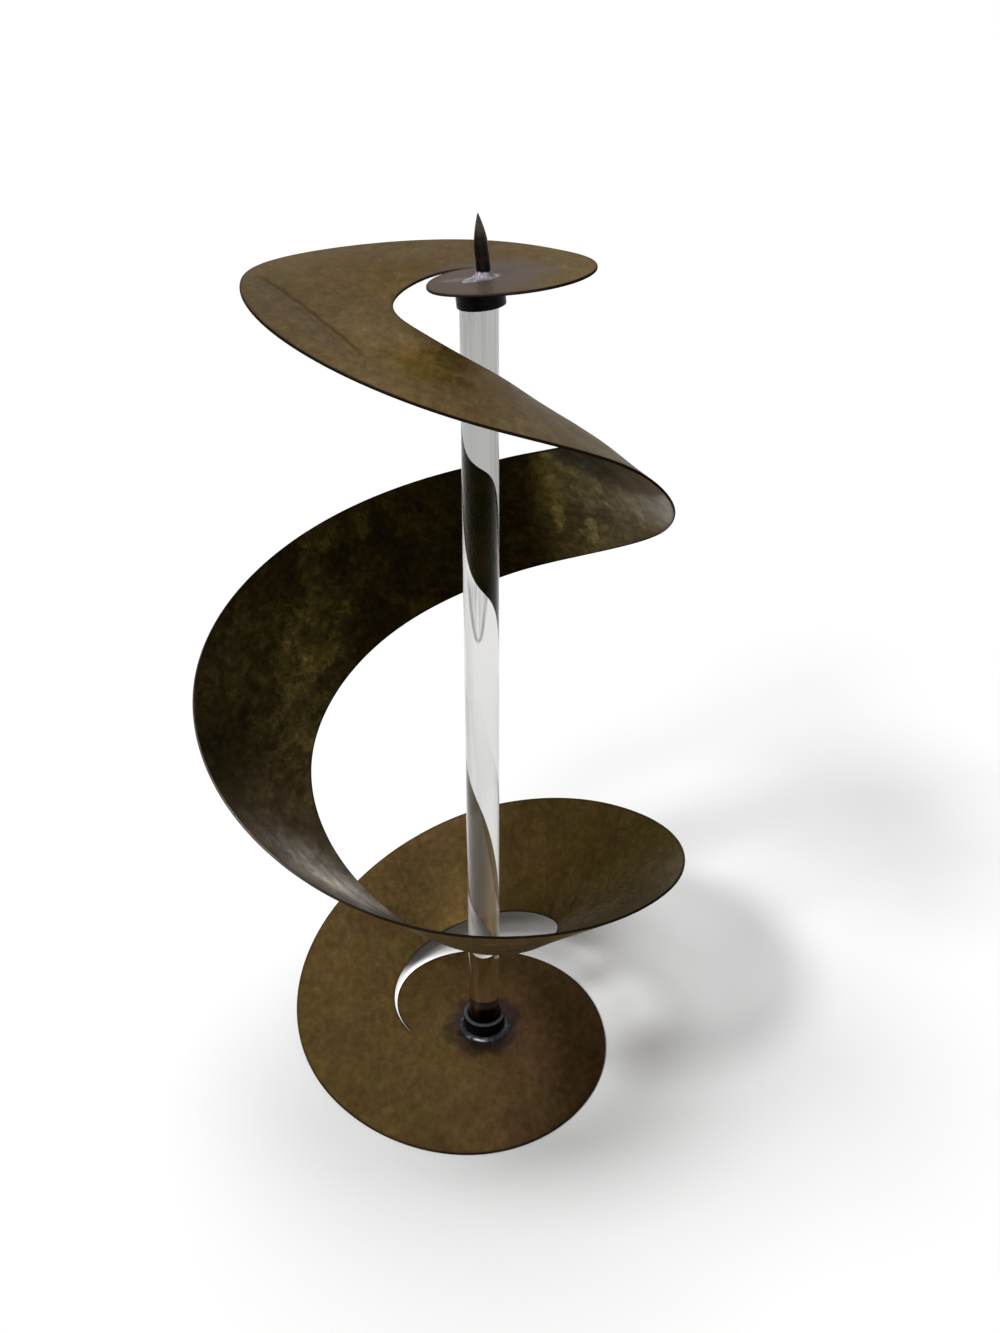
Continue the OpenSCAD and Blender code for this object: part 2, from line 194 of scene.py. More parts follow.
# where the torch left the patina lighter, darker or greyer, and where light and shade are painted into it:
# painted shade on the tall wall and the foot, painted reflections at the fold's tip, the wall's light end and
# the crown right of the spike, painted light on some cut edges; a tone of 1 reflects a tenth, and every 0.2
# less halves it
paint = dict(
    # the side that faces up on the foot, by station: bowl, tall wall, inside of the fold; the tall wall's
    # dark tones are partly painted shade, and towards the fold's tip the tone and grey rise as a painted
    # reflection
    at=[0, 8.6, 9.3, 10.2, 10.8, 11.6, 12.4, 13.5, 14.6, 15.4, 16,
        16.5, 17, 17.6, 18.6, 18.95, 19.5, 20, 20.5, 22, 35],
    upperTone=[0.83, 0.86, 0.83, 0.69, 0.625, 0.68, 0.74, 0.66, 0.62, 0.55, 0.52,
               0.42, 0.14, 0.06, 0.28, 0.90, 0.95, 1.11, 1.14, 0.95, 0.85],
    upperGrey=[0.08, 0.08, 0.10, 0.04, 0.00, 0.18, 0.45, 0.45, 0.45, 0.40, 0.15,
               0.05, 0.00, 0.00, 0.05, 0.08, 0.42, 0.80, 0.95, 0.60, 0.45],
    upperCloud=[0.06, 0.06, 0.07, 0.07, 0.07, 0.08, 0.08, 0.08, 0.10, 0.13, 0.22,
                0.26, 0.26, 0.24, 0.24, 0.19, 0.16, 0.10, 0.05, 0.05, 0.05],
    upperRed=[0.00, 0.00, 0.00, 0.00, -0.1, -0.5, -0.5, -0.3, -0.1, -0.1, -0.5,
              -0.6, -0.2, 0.00, -0.2, -0.7, -0.8, -0.5, -0.2, 0.00, 0.00],
    # the other side: outside of the bowl and wall, strip over the fold, crown
    lowerAt=[0, 13, 14.5, 17, 20, 21.3, 22.0, 22.7, 23.4, 24.6, 25.4, 26.5, 35],
    lowerTone=[0.66, 0.95, 1.00, 0.80, 0.90, 0.99, 1.00, 0.99, 0.965, 0.955, 0.92, 0.925, 0.955],
    lowerGrey=[0.15, 0.20, 0.28, 0.20, 0.50, 0.66, 0.26, 0.24, 0.34, 0.26, 0.26, 0.26, 0.28],
    lowerCloud=[0.06, 0.06, 0.06, 0.10, 0.05, 0.03, 0.05, 0.06, 0.045, 0.045, 0.045, 0.045, 0.045],
    lowerRed=-0.15,
    # the cut edge: its own tone where that is under rimPlain or where it is painted lit bright (a painted
    # highlight along the wall's edge, painted light along the foot's slit), and rimDark, partly painted
    # shade, elsewhere
    rimAt=[0, 7.2, 7.7, 8.8, 9.6, 13, 14.5, 15.1, 16.4, 17.2, 21, 22, 35],
    rimTone=[0.50, 0.50, 1.30, 1.30, 0.45, 0.30, 0.50, 1.05, 0.95, 0.15, 0.20, 0.38, 0.38],
    paintedLitRims=[(0.5, 1.0, 14.5, 17), (0.0, 0.5, 7, 9.8)],   # share from, to, station from, to
    rimPlain=0.6, rimDark=0.30, rimGrey=0.4, paintedLitGrey=0.9,
    # the foot, by place: painted shade darkens it to the right, where the bowl shades it, it is redder to the
    # right too, and a painted shade spot at the back
    footEnds=(8.3, 9.6), footFrom=(-0.020, 0.105), footPaintedShade=0.18, footCurve=1.3,
    footRed=(-0.055, 0.045, 0.45),
    footShadeSpot=dict(x=(-0.030, 0.045), y=(0.062, 0.035), paintedLight=0.08),
    # the crown right of the spike is lighter, a painted sheen
    lobeSheen=dict(fromStation=26, x=(0.058, 0.032), lift=0.10),
    # soft patches: side, station, share across from the crown's edge, the two half widths, tone, grey
    patches=[(1, 17.0, 0.98, 0.25, 0.12, 0.15, 0.0), (1, 15.85, 0.80, 0.30, 0.25, -0.04, 0.0),
             (1, 9.6, 0.55, 0.50, 0.35, -0.07, 0.0), (1, 19.85, 0.0, 0.20, 0.12, -0.20, -0.3),
             (1, 11.2, 0.10, 0.35, 0.20, 0.07, 0.1), (1, 16.1, 0.25, 0.40, 0.30, 0.09, 0.0),
             (1, 12.1, 0.98, 0.50, 0.22, 0.12, 0.2), (1, 12.2, 0.05, 0.90, 0.42, 0.18, 0.15),
             (-1, 24.9, 0.72, 0.35, 0.25, -0.04, -0.05), (-1, 23.1, 0.75, 0.30, 0.20, 0.05, 0.0),
             (-1, 22.55, 0.85, 0.25, 0.22, 0.09, 0.0), (-1, 22.35, 0.68, 0.20, 0.30, 0.045, -0.2),
             (1, 20.45, 0.05, 0.40, 0.24, 0.20, 0.3)],
    # stains with ragged borders, lighter golden ones and darker ones: side, station, share, half widths
    glow=[(1, 16.55, 0.35, 0.20, 0.20), (1, 16.84, 0.45, 0.08, 0.14), (1, 16.77, 0.78, 0.06, 0.13),
          (1, 16.72, 0.58, 0.06, 0.10), (1, 16.54, 0.50, 0.06, 0.10), (1, 16.36, 0.42, 0.07, 0.10),
          (1, 17.13, 0.50, 0.06, 0.11), (1, 17.10, 0.82, 0.07, 0.10), (1, 16.92, 0.85, 0.08, 0.08),
          (1, 16.20, 0.15, 0.22, 0.25), (1, 18.98, 0.45, 0.08, 0.18), (1, 19.25, 0.20, 0.09, 0.14)],
    soot=[(1, 17.6, 0.35, 0.18, 0.40), (1, 17.32, 0.85, 0.10, 0.18), (1, 17.42, 0.55, 0.08, 0.12),
          (1, 16.9, 0.20, 0.16, 0.14), (-1, 22.42, 0.74, 0.32, 0.38)],
    # the shaded band inside the fold: the share where it starts at one station, and how that share falls
    foldBand=dict(station=20, share=0.41, slope=-0.58, soft=0.025, starts=(18.7, 18.95), ends=(21, 21.6),
                  tone=(0.76, 1.02), toneOver=(19.3, 20.4), grey=0.62),
    # painted highlight: the streaky light end of the tall wall is painted lighter and greyer as a reflection
    sheen=dict(station=14.95, reach=(0.26, 0.40), share=0.40, width=0.70, tone=0.83, grey=1.0),
)


tilt = math.radians(sheet["crownTilt"])
halfSheet = sheet["thickness"] / 2
plateTop = sheet["thickness"]
crownNormal = np.array([-math.sin(tilt), 0, math.cos(tilt)])
bendStart, bendEnd = np.array(sheet["bendFrom"]), np.array(sheet["bendTo"])
bendLength = np.linalg.norm(bendEnd - bendStart)
bendWay = (bendEnd - bendStart) / bendLength


def softCurve(shares, first, station):
    # cubic B-spline: ((1-t)^3 a + (3t^3-6t^2+4) b + (3t+3t^2-3t^3+1) c + t^3 d) / 6
    whole = np.floor(station).astype(int)
    t = station - whole
    def neighbour(k):
        return np.array(shares, float)[np.clip(whole - first + k, 0, len(shares) - 1)]
    a, b, c, d = [neighbour(k) for k in (-1, 0, 1, 2)]
    middle = (3 * t ** 3 - 6 * t ** 2 + 4) * b + (3 * t + 3 * t ** 2 - 3 * t ** 3 + 1) * c
    return ((1 - t) ** 3 * a + middle + t ** 3 * d) / 6


def sheetPoint(station, reach, rise):
    # out from the axis, clockwise from the left, and up from the flat foot to the leaning crown
    angle = np.radians(180 - 360 / sheet["turn"] * station)
    x, y = reach * np.cos(angle), reach * np.sin(angle)
    return np.stack([x, y, halfSheet + rise * (sheet["crownHeight"] - halfSheet + x * math.tan(tilt))], -1)


def edgeReachAt(which, first, cut, station):
    # how far out an edge is, and its rise; on each plate both edges give half the saw cut to the slit
    rise = softCurve(sheet[which + "Rise"], first, station)
    return sheet["ribbonWidth"] * softCurve(sheet[which + "Reach"], first, station) + cut * (rise - 0.5), rise


def footReachAt(station):
    return edgeReachAt("foot", -2, sheet["sawCut"], station)


def crownReachAt(station):
    return edgeReachAt("crown", 6, -sheet["sawCut"], station)


def footEdge(station):
    return sheetPoint(station, *footReachAt(station))


def crownEdge(station):
    return sheetPoint(station, *crownReachAt(station))


def hubEdge(station, reachAt, hubShare, turns, rise):
    # the rim of the round hub draws in by the square root of the turn from the slit's end
    reach = reachAt(station)[0] * (1 - (1 - hubShare) * np.sqrt(np.maximum(turns, 0)))
    return sheetPoint(station, reach, np.full_like(reach, rise))


def unit(v):
    return v / np.maximum(np.linalg.norm(v, axis=-1, keepdims=True), 1e-12)


def handBend(points, rise):
    # the ribbon's slow unevenness: three crossed sine waves, none on the plates;
    # the crown's bend line: a low ridge a exp(-(d/w)^2) beside the line, fading at its ends
    x, y, z = points.T * 2 * np.pi
    free = np.clip(4 * rise * (1 - rise), 0, 1)
    wave = np.sin(9.1 * x + 4.3 * z) + np.sin(11.7 * y - 6.1 * z + 1.3)
    wave = wave + np.sin(7.9 * (x + y) + 8.8 * z + 2.1)
    t = (points[:, :2] - bendStart) @ bendWay / bendLength
    off = (points[:, :2] - bendStart) @ np.array([-bendWay[1], bendWay[0]])
    start, end = sheet["bendFades"]
    ends = np.clip(t / start, 0, 1) * np.clip((1 - t) / end, 0, 1) * (points[:, 2] > sheet["crownAbove"])
    return sheet["wave"] * free * wave / 3 + sheet["bendDepth"] * ends * bell(off, 0, sheet["bendWidth"])


def smoothStep(value, low, high):
    t = np.clip((value - low) / (high - low), 0, 1)
    return t * t * (3 - 2 * t)


def patinaAndPaintedLight(side, station, share, points):
    # tone, grey, red, cloud, sheen and stains of every point, with painted shade and painted highlights among
    # them: by station along the ribbon, by place on the foot, plus soft patches amount * exp(-(ds/a)^2 -
    # (dv/b)^2)
    upper = side > 0
    def along(name):
        above = np.interp(station, paint["at"], paint["upper" + name])
        return np.where(upper, above, np.interp(station, paint["lowerAt"], paint["lower" + name]))
    def soft(which, at, across, length, width):
        return (side == which) * bell(station, at, length) * bell(share, across, width)
    tone, grey, cloud = along("Tone"), along("Grey"), along("Cloud")
    x, y = points[:, 0], points[:, 1]
    onFoot = 1 - smoothStep(station, *paint["footEnds"])
    # painted shade on the foot: darker to the right and in a spot at the back
    tone = tone - onFoot * paint["footPaintedShade"] * smoothStep(x, *paint["footFrom"]) ** paint["footCurve"]
    spot, lobeSheen = paint["footShadeSpot"], paint["lobeSheen"]
    tone = tone - onFoot * spot["paintedLight"] * bell(x, *spot["x"]) * bell(y, *spot["y"])
    # painted sheen: the crown right of the spike is made lighter
    tone = tone + ~upper * (station > lobeSheen["fromStation"]) * lobeSheen["lift"] * bell(x, *lobeSheen["x"])
    red = np.where(upper, np.interp(station, paint["at"], paint["upperRed"]), paint["lowerRed"])
    red = red + onFoot * paint["footRed"][2] * smoothStep(x, *paint["footRed"][:2])
    for *where, toneBy, greyBy in paint["patches"]:
        tone, grey = tone + toneBy * soft(*where), grey + greyBy * soft(*where)
    glow, soot = [np.minimum(sum(soft(*stain) for stain in paint[name]), 1) for name in ("glow", "soot")]

    fold = paint["foldBand"]
    start = fold["share"] + fold["slope"] * (station - fold["station"])
    band = upper * smoothStep(share - start, -fold["soft"], fold["soft"])
    band = band * smoothStep(station, *fold["starts"]) * (1 - smoothStep(station, *fold["ends"]))
    low, high = fold["tone"]
    bandTone = low + (high - low) * smoothStep(station, *fold["toneOver"])
    tone, grey = tone + (bandTone - tone) * band, grey + (fold["grey"] - grey) * band
    # painted highlight at the wall's light end
    s = paint["sheen"]
    reach = np.where(station < s["station"], *s["reach"])
    sheen = upper * bell(station, s["station"], reach) * bell(share, s["share"], s["width"])
    grey = np.clip(grey, 0, 1.1)
    return dict(tone=tone, grey=grey, red=red, cloud=cloud, sheen=sheen, glow=glow, soot=soot)


def brassSheet():
    # middle surface: point = near + share (far - near) between the two cut edges at each station, drawn
    # in by the edge's round; normal = along x across; the two faces lie half a sheet off it, and the rim
    # is a rounded profile carried along the closed edge
    per, rows, hubRows = sheet["columns"], sheet["rows"], sheet["hubRows"]
    footCount = sheet["turn"] * per
    crownFirst = int(round((sheet["crownStart"] - sheet["slitStart"]) * per))
    last = crownFirst + sheet["turn"] * per
    column = np.arange(last + 1)
    station = sheet["slitStart"] + column / per
    footEnd, bandEnd = station[footCount], station[last]
    def hubShare(at, inner, outer):
        return inner(np.array([at]))[0][0] / outer(np.array([at]))[0][0]
    footHub = hubShare(footEnd, crownReachAt, footReachAt)
    crownHub = hubShare(sheet["crownStart"], footReachAt, crownReachAt)
    nearHub, farHub = column < footCount, column > crownFirst
    def near(s):
        hub = hubEdge(s, footReachAt, footHub, (s - sheet["slitStart"]) / sheet["turn"], 0)
        return np.where(nearHub[:, None], hub, crownEdge(s))
    def far(s):
        hub = hubEdge(s, crownReachAt, crownHub, (bandEnd - s) / sheet["turn"], 1)
        return np.where(farHub[:, None], hub, footEdge(s))
    nearLine, farLine = near(station), far(station)
    across = farLine - nearLine
    across[0], across[last] = across[1], across[last - 1]
    step = 1 / 64                                   # for the slope along the ribbon, in stations
    share, even = np.linspace(0, 1, rows + 1), sheet["evenRows"]
    share = even * share + (1 - even) * (1 - np.cos(np.pi * share)) / 2
    alongNear, alongFar = near(station + step) - nearLine, far(station + step) - farLine
    along = alongNear[:, None] + (alongFar - alongNear)[:, None] * share[None, :, None]
    normal = unit(np.cross(along, np.broadcast_to(across[:, None], along.shape)))
    normal[:footCount, 0] = (0, 0, 1)
    normal[crownFirst + 1:, rows] = -crownNormal
    normal[0], normal[last] = (0, 0, 1), -crownNormal
    def outwards(line, sign):
        way = unit(line)
        return unit(sign * (across - (across * way).sum(-1, keepdims=True) * way))
    nearOut, farOut = outwards(alongNear, -1), outwards(alongFar, 1)
    nearIn = nearLine - nearOut * sheet["edgeRound"] * ~nearHub[:, None]
    farIn = farLine - farOut * sheet["edgeRound"] * ~farHub[:, None]
    nearIn[0], farIn[last] = farIn[0], nearIn[last]
    band = nearIn[:, None] + (farIn - nearIn)[:, None] * share[None, :, None]
    width = np.linalg.norm(across, axis=1)[:, None]
    nearGap = np.where(nearHub[:, None], 1, share * width)
    farGap = np.where(farHub[:, None], 1, (1 - share) * width)
    gap = np.minimum(nearGap, farGap)
    stations = np.broadcast_to(station[:, None], gap.shape)

    bandId = column[:, None] * (rows + 1) + np.arange(rows + 1)
    bandId[0], bandId[last] = bandId[0, 0], bandId[last, 0]
    bandCount = (last + 1) * (rows + 1)
    inner = (np.arange(1, hubRows) / hubRows)[None, :, None]
    footRim, crownRim = band[:footCount, 0], band[crownFirst + np.arange(footCount), rows]
    crownRim = np.concatenate([band[last:last + 1, rows], crownRim[1:]])
    footMiddle, crownMiddle = np.array([0, 0, halfSheet]), np.array([0, 0, sheet["crownHeight"]])
    footDisc = (footMiddle + (footRim[:, None] - footMiddle) * inner).reshape(-1, 3)
    crownDisc = (crownMiddle + (crownRim[:, None] - crownMiddle) * inner).reshape(-1, 3)
    points = np.concatenate([band.reshape(-1, 3), footDisc, crownDisc, footMiddle[None], crownMiddle[None]])
    normals = np.concatenate([normal.reshape(-1, 3), np.tile((0, 0, 1.0), (len(footDisc), 1)),
                              np.tile(-crownNormal, (len(crownDisc), 1)), [[0, 0, 1.0]], [-crownNormal]])
    gaps = np.concatenate([gap.ravel(), np.full(len(footDisc) + len(crownDisc) + 2, 1.0)])
    onFoot, onCrownPlate = 4.0, 30.0                 # the stations that the two hubs are painted as
    stationOf = np.concatenate([stations.ravel(), np.full(len(footDisc), onFoot),
                                np.full(len(crownDisc), onCrownPlate), [onFoot, onCrownPlate]])
    shares = np.broadcast_to(share[None, :], gap.shape).ravel()
    shares = np.concatenate([shares, np.zeros(len(footDisc)), np.ones(len(crownDisc)), [0.0, 1.0]])

    def hubIds(first, rim, centre):
        ring = bandCount + first + np.arange(footCount)[:, None] * (hubRows - 1) + np.arange(hubRows - 1)
        return np.concatenate([np.full((footCount, 1), centre), ring, rim[:, None]], 1)
    count = len(points)
    footIds = hubIds(0, bandId[:footCount, 0], count - 2)
    crownRimIds = np.concatenate([[bandId[last, rows]], bandId[crownFirst + 1:last, rows]])
    crownIds = hubIds(len(footDisc), crownRimIds, count - 1)
    def patches(ids, wrap):
        other = np.roll(ids, -1, 0) if wrap else ids[1:]
        ids = ids if wrap else ids[:-1]
        return np.stack([ids[:, :-1], ids[:, 1:], other[:, 1:], other[:, :-1]], -1).reshape(-1, 4)
    upper = np.concatenate([patches(bandId, False), patches(footIds, True), patches(crownIds, True)[:, ::-1]])
    closing = np.array([[bandId[footCount - 1, 0], bandId[footCount, 0], bandId[0, 0]],
                        [bandId[crownFirst + 1, rows], bandId[crownFirst, rows], bandId[last, 0]]])
    # patches that close up to a point become triangles
    same = [upper[:, k] == upper[:, (k + 1) % 4] for k in range(4)]
    quads = upper[~np.any(same, 0)]
    tris = [np.delete(upper[same[k] & (np.sum(same, 0) == 1)], k, 1) for k in range(4)]
    tris = np.concatenate(tris + [closing])

    fullRise = sheet["crownHeight"] - halfSheet + points[:, 0] * math.tan(tilt)
    rise = np.clip((points[:, 2] - halfSheet) / fullRise, 0, 1)
    points = points + normals * handBend(points, rise)[:, None]
    # the fold swells: depth exp(-(ds/reach)^2 - (dv/width)^2)
    s = sheet["swell"]
    out = s["depth"] * bell(stationOf, s["station"], s["reach"]) * bell(shares, s["share"], s["width"])
    points = points - normals * out[:, None]
    top, under = points + normals * halfSheet, points - normals * halfSheet

    # the closed edge: out along the foot's edge, back along the crown's
    edgeIds = np.concatenate([bandId[:crownFirst + 1, rows], bandId[footCount:last + 1, 0][::-1]])
    edgeOut = np.concatenate([farOut[:crownFirst + 1], nearOut[footCount:last + 1][::-1]])
    turn = np.radians([30, 60, 90])                 # the arris is a quarter circle in three steps
    out, up = sheet["edgeRound"] * np.sin(turn), halfSheet - sheet["edgeRound"] * (1 - np.cos(turn))
    profile = [*zip(out, up), *zip(out[::-1], -up[::-1])]
    rim = np.stack([points[edgeIds] + edgeOut * a + normals[edgeIds] * b for a, b in profile], 1)
    rimIds = 2 * count + np.arange(len(edgeIds))[:, None] * len(profile) + np.arange(len(profile))
    strip = np.concatenate([edgeIds[:, None], rimIds, edgeIds[:, None] + count], 1)
    other = np.roll(strip, -1, 0)
    rimFaces = np.stack([strip[:, :-1], strip[:, 1:], other[:, 1:], other[:, :-1]], -1).reshape(-1, 4)

    everyPoint = np.concatenate([top, under, rim.reshape(-1, 3)])
    # the CAD model's edges run in short chords, so the curve's outermost tenth of a millimetre is taken in
    everyPoint = np.clip(everyPoint, np.array(cadBox[0]), np.array(cadBox[1]))
    faces = [quads, quads[:, ::-1] + count, tris, tris[:, ::-1] + count, rimFaces]
    rimCount = rim.shape[0] * rim.shape[1]
    side = np.concatenate([np.ones(count), -np.ones(count), np.zeros(rimCount)])
    allGap = np.concatenate([gaps, gaps, np.zeros(rimCount)])
    along, across = [np.concatenate([v, v, np.repeat(v[edgeIds], len(profile))]) for v in (stationOf, shares)]
    marks = patinaAndPaintedLight(side, along, across, everyPoint)
    rimTone = np.interp(along, paint["rimAt"], paint["rimTone"])
    # painted light: the listed stretches of cut edge are made bright and grey
    rubbed = np.zeros(len(along), bool)
    for shareFrom, shareTo, first, end in paint["paintedLitRims"]:
        rubbed |= (across >= shareFrom) & (across <= shareTo) & (along > first) & (along < end)
    edgeTone = np.where(rubbed | (rimTone < paint["rimPlain"]), rimTone, paint["rimDark"])
    edgeGrey = np.where(rubbed, paint["paintedLitGrey"], paint["rimGrey"])
    marks["tone"] = np.where(side == 0, edgeTone, marks["tone"])
    marks["grey"] = np.where(side == 0, edgeGrey, marks["grey"])
    marks.update(side=side, edgeGap=allGap, station=along, share=across)
    return everyPoint, faces, marks


ribbonPoints, ribbonFaces, ribbonMarks = brassSheet()
ribbonVolume = enclosed(ribbonPoints, ribbonFaces)
ribbon = buildPiece("brassRibbon", ribbonPoints, ribbonFaces, ribbonMarks)
print("brass sheet:", len(ribbonPoints), "points, %.1f cm3" % (abs(ribbonVolume) * 1e6))


# the clear column

column = dict(radius=0.0125, chamfer=0.0005, topGap=0.0004, sides=192, flat=0.0015)
crownUnderside = sheet["crownHeight"] - halfSheet / math.cos(tilt)
columnTop = crownUnderside - column["radius"] * math.tan(tilt) - column["topGap"]


def clearColumn():
    # a straight post: (0, bottom) out to its radius, up, and in again, with both rims softly broken
    r, low, high = column["radius"], plateTop, columnTop
    broken = [0, column["chamfer"], column["chamfer"], 0]
    outline = softCorners([(0, low), (r, low), (r, high), (0, high)], broken, 6)
    outline = holdFlats(outline, column["flat"])[:-2]
    outline = outline[np.append(True, np.linalg.norm(np.diff(outline, axis=0), axis=1) > 1e-7)]
    outline[0], outline[-1] = (0, low), (0, high)
    return turnedPost("clearColumn", outline, column["sides"])


rod = clearColumn()
print("column: %.1f mm long" % ((columnTop - plateTop) * 1000))


# the two black collars

collars = dict(
    clearance=0.00015, lowerWall=0.0043, lowerHeight=0.015, upperWall=0.0016, upperHeight=0.015,
    lip=0.0005, fullLip=0.003, flat=0.0007, sides=160,   # the lip is full on walls as thick as fullLip
    dent=0.00006, grooveAt=0.72, grooveWide=0.0006, grooveDeep=0.00008,
)


def onCrown(points):
    # stands a piece, made round the axis from the sheet's middle, square on the leaning crown
    x, y, z = points.T
    height = sheet["crownHeight"] + x * math.sin(tilt) + z * math.cos(tilt)
    return np.stack([x * math.cos(tilt) - z * math.sin(tilt), y, height], 1)


def turnedCollar(name, bore, wall, low, high, seed, place=None):
    # a square-cut ring, corners (bore, low) (bore + wall, low) (bore + wall, high) (bore, high), rims
    # softened, with a faint groove left by the tool and a little out of round: r + dent * waves(angle)
    outer = bore + wall
    lips = [collars["lip"] * min(1, wall / collars["fullLip"])] * 4
    outline = softCorners([(bore, low), (outer, low), (outer, high), (bore, high)], lips)
    grooveHeight = low + collars["grooveAt"] * (high - low)
    def shape(angle, radius, height):
        onWall = np.clip((radius - bore) / wall, 0, 1)
        groove = collars["grooveDeep"] * bell(height, grooveHeight, collars["grooveWide"])
        return radius + onWall * (collars["dent"] * unevenness(angle, seed) - groove), height
    return turnedRing(name, holdFlats(outline, collars["flat"]), collars["sides"], shape, place)


lowerBore = column["radius"] + collars["clearance"]
lowerOuter = lowerBore + collars["lowerWall"]
upperBore = column["radius"] + collars["upperHeight"] * math.tan(tilt) + collars["clearance"]
upperOuter = upperBore + collars["upperWall"]
collarTop = plateTop + collars["lowerHeight"]
footCollar = turnedCollar("footCollar", lowerBore, collars["lowerWall"], plateTop, collarTop, 3)
crownCollar = turnedCollar("crownCollar", upperBore, collars["upperWall"],
                           -halfSheet - collars["upperHeight"], -halfSheet, 4, onCrown)
print("collars: %.1f and %.1f mm across" % (lowerOuter * 2000, upperOuter * 2000))


# solder: three uneven fillets

solderRuns = dict(
    lower=(0.0038, 0.0030), upper=(0.0018, 0.0017), spike=(0.0046, 0.0042),   # how wide and how high
    sides=144, steps=14, sink=0.0002, hollow=2.2,
    widthVaries=0.16, heightVaries=0.13, bead=0.00022, beads=(7, 11, 16),
    smear=1.3, smearAt=3.6, smearHalf=0.5,   # how much further out, and the angles in radians
)


def solderFillet(name, post, size, up, seed, place=None, smear=0.0, footAt=0.0):
    # hollow fillet between a post and a plate: radius = post + wide a(angle) t, height = high b(angle)
    # (1 - t)^2.2 plus small beads, t from the post's wall to the thin edge; a and b vary round the post,
    # and on one side the run is smeared further out
    wide, high = size
    run = solderRuns
    t = np.linspace(0, 1, run["steps"])
    curve = np.stack([post + wide * t, high * (1 - t) ** run["hollow"]], 1)
    inside = post - run["sink"]
    back = [(post + wide * 0.9, -run["sink"]), (inside, -run["sink"]), (inside, high * 0.9)]
    outline = np.concatenate([curve, back])
    def shape(angle, radius, height):
        t = np.clip((radius - post) / wide, 0, 1)
        turn = np.angle(np.exp(1j * (angle - run["smearAt"])))
        reach = 1 + run["widthVaries"] * unevenness(angle, seed) + smear * bell(turn, 0, run["smearHalf"])
        rise = 1 + run["heightVaries"] * unevenness(angle, seed + 1)
        bead = run["bead"] * unevenness(angle, seed + 2, run["beads"]) * np.sin(np.pi * t)
        grown = post + (radius - post) * np.where(radius > post, reach, 1)
        return grown, np.where(height > 0, height * rise + bead, height)
    def stand(points):
        points = points * (1, 1, up) + (0, 0, footAt)
        return place(points) if place else points
    return turnedRing(name, outline, run["sides"], shape, stand)


spike = dict(
    radius=0.0044, offset=0.0034, shaft=0.020, point=0.0185, tip=0.00035,
    pointHeights=[0.35, 0.65, 0.85], pointRadii=[0.83, 0.54, 0.28], shoulder=0.0006,
    sides=96, steps=26, facets=5, facetDepth=0.055, facetTwist=0.7,
    hammered=0.012, hammerTurn=40, fromFoot=0.004,
)


def onSpikePlace(points):
    return onCrown(points + (spike["offset"], 0, 0))


footSolder = solderFillet("footSolder", lowerOuter, solderRuns["lower"], 1, 11, footAt=plateTop)
crownSolder = solderFillet("crownSolder", upperOuter, solderRuns["upper"], -1, 21, onCrown, footAt=-halfSheet)
spikeSolder = solderFillet("spikeSolder", spike["radius"], solderRuns["spike"], 1, 31, onSpikePlace,
                           smear=solderRuns["smear"], footAt=halfSheet)
print("solder: three fillets")


# the pricket spike

def groundSpike():
    # straight shaft, then a point whose radius follows the ground curve through its height shares; five
    # flats are ground on it, each takes depth (1 - cos) / 2 off the radius, growing up the point
    low, base = halfSheet, halfSheet + spike["shaft"]
    height = np.array([0, *spike["pointHeights"], 1])
    radius = np.array([1, *spike["pointRadii"], spike["tip"] / spike["radius"]])
    # a cubic fitted through the given points by least squares, held to its two ends
    t = np.linspace(0, 1, spike["steps"])
    curve = np.polyval(np.polyfit(height, radius, 3), t)
    curve = curve + (1 - curve[0]) * (1 - t) ** 6 + (radius[-1] - curve[-1]) * t ** 6
    shaft = np.stack([np.full(10, spike["radius"]), np.linspace(low, base - spike["shoulder"], 10)], 1)
    point = np.stack([curve * spike["radius"], base + t * spike["point"]], 1)
    outline = np.concatenate([[(0, low)], shaft, point, [(0, base + spike["point"])]])
    def shape(angle, radius, height):
        up = np.clip((height - base) / spike["point"], 0, 1)
        flats = (1 - np.cos(spike["facets"] * angle + spike["facetTwist"] * up)) / 2
        ground = spike["facetDepth"] * flats * np.minimum(up * 3, 1)
        dents = spike["hammered"] * unevenness(angle + spike["hammerTurn"] * height, 41, (2, 3, 4))
        dents = dents * np.clip((height - low) / spike["fromFoot"], 0, 1)
        return radius * (1 - ground + dents * (1 - up) * 0.6 - abs(dents) * 0.5), height
    return turnedPost("candleSpike", outline, spike["sides"], shape, onSpikePlace)


pricket = groundSpike()
print("spike: %.1f mm long" % ((spike["shaft"] + spike["point"]) * 1000))


# material helpers: a Wire is one output of a node, and arithmetic on wires lays down Math nodes

class Wire:
    def __init__(self, tree, socket):
        self.tree, self.socket = tree, socket

    def __add__(self, other):
        return calc("ADD", self, other)

    def __radd__(self, other):
        return calc("ADD", self, other)

    def __sub__(self, other):
        return calc("SUBTRACT", self, other)

    def __mul__(self, other):
        return calc("MULTIPLY", self, other)

    def __truediv__(self, other):
        return calc("DIVIDE", self, other)

    def __abs__(self):
        return calc("ABSOLUTE", self)


def plugIn(made, plugs):
    for key, value in plugs.items():
        if isinstance(value, Wire):
            value.tree.links.new(value.socket, made.inputs[key])
        else:
            made.inputs[key].default_value = value


def node(tree, kind, plugs=None, **settings):
    made = tree.nodes.new(kind)
    for key, value in settings.items():
        setattr(made, key, value)
    plugIn(made, plugs or {})
    return made


def wired(kind, plugs, output=0, **settings):
    # a node in the tree of the first wire that goes into it
    tree = next(plug.tree for plug in plugs.values() if isinstance(plug, Wire))
    return Wire(tree, node(tree, kind, plugs, **settings).outputs[output])


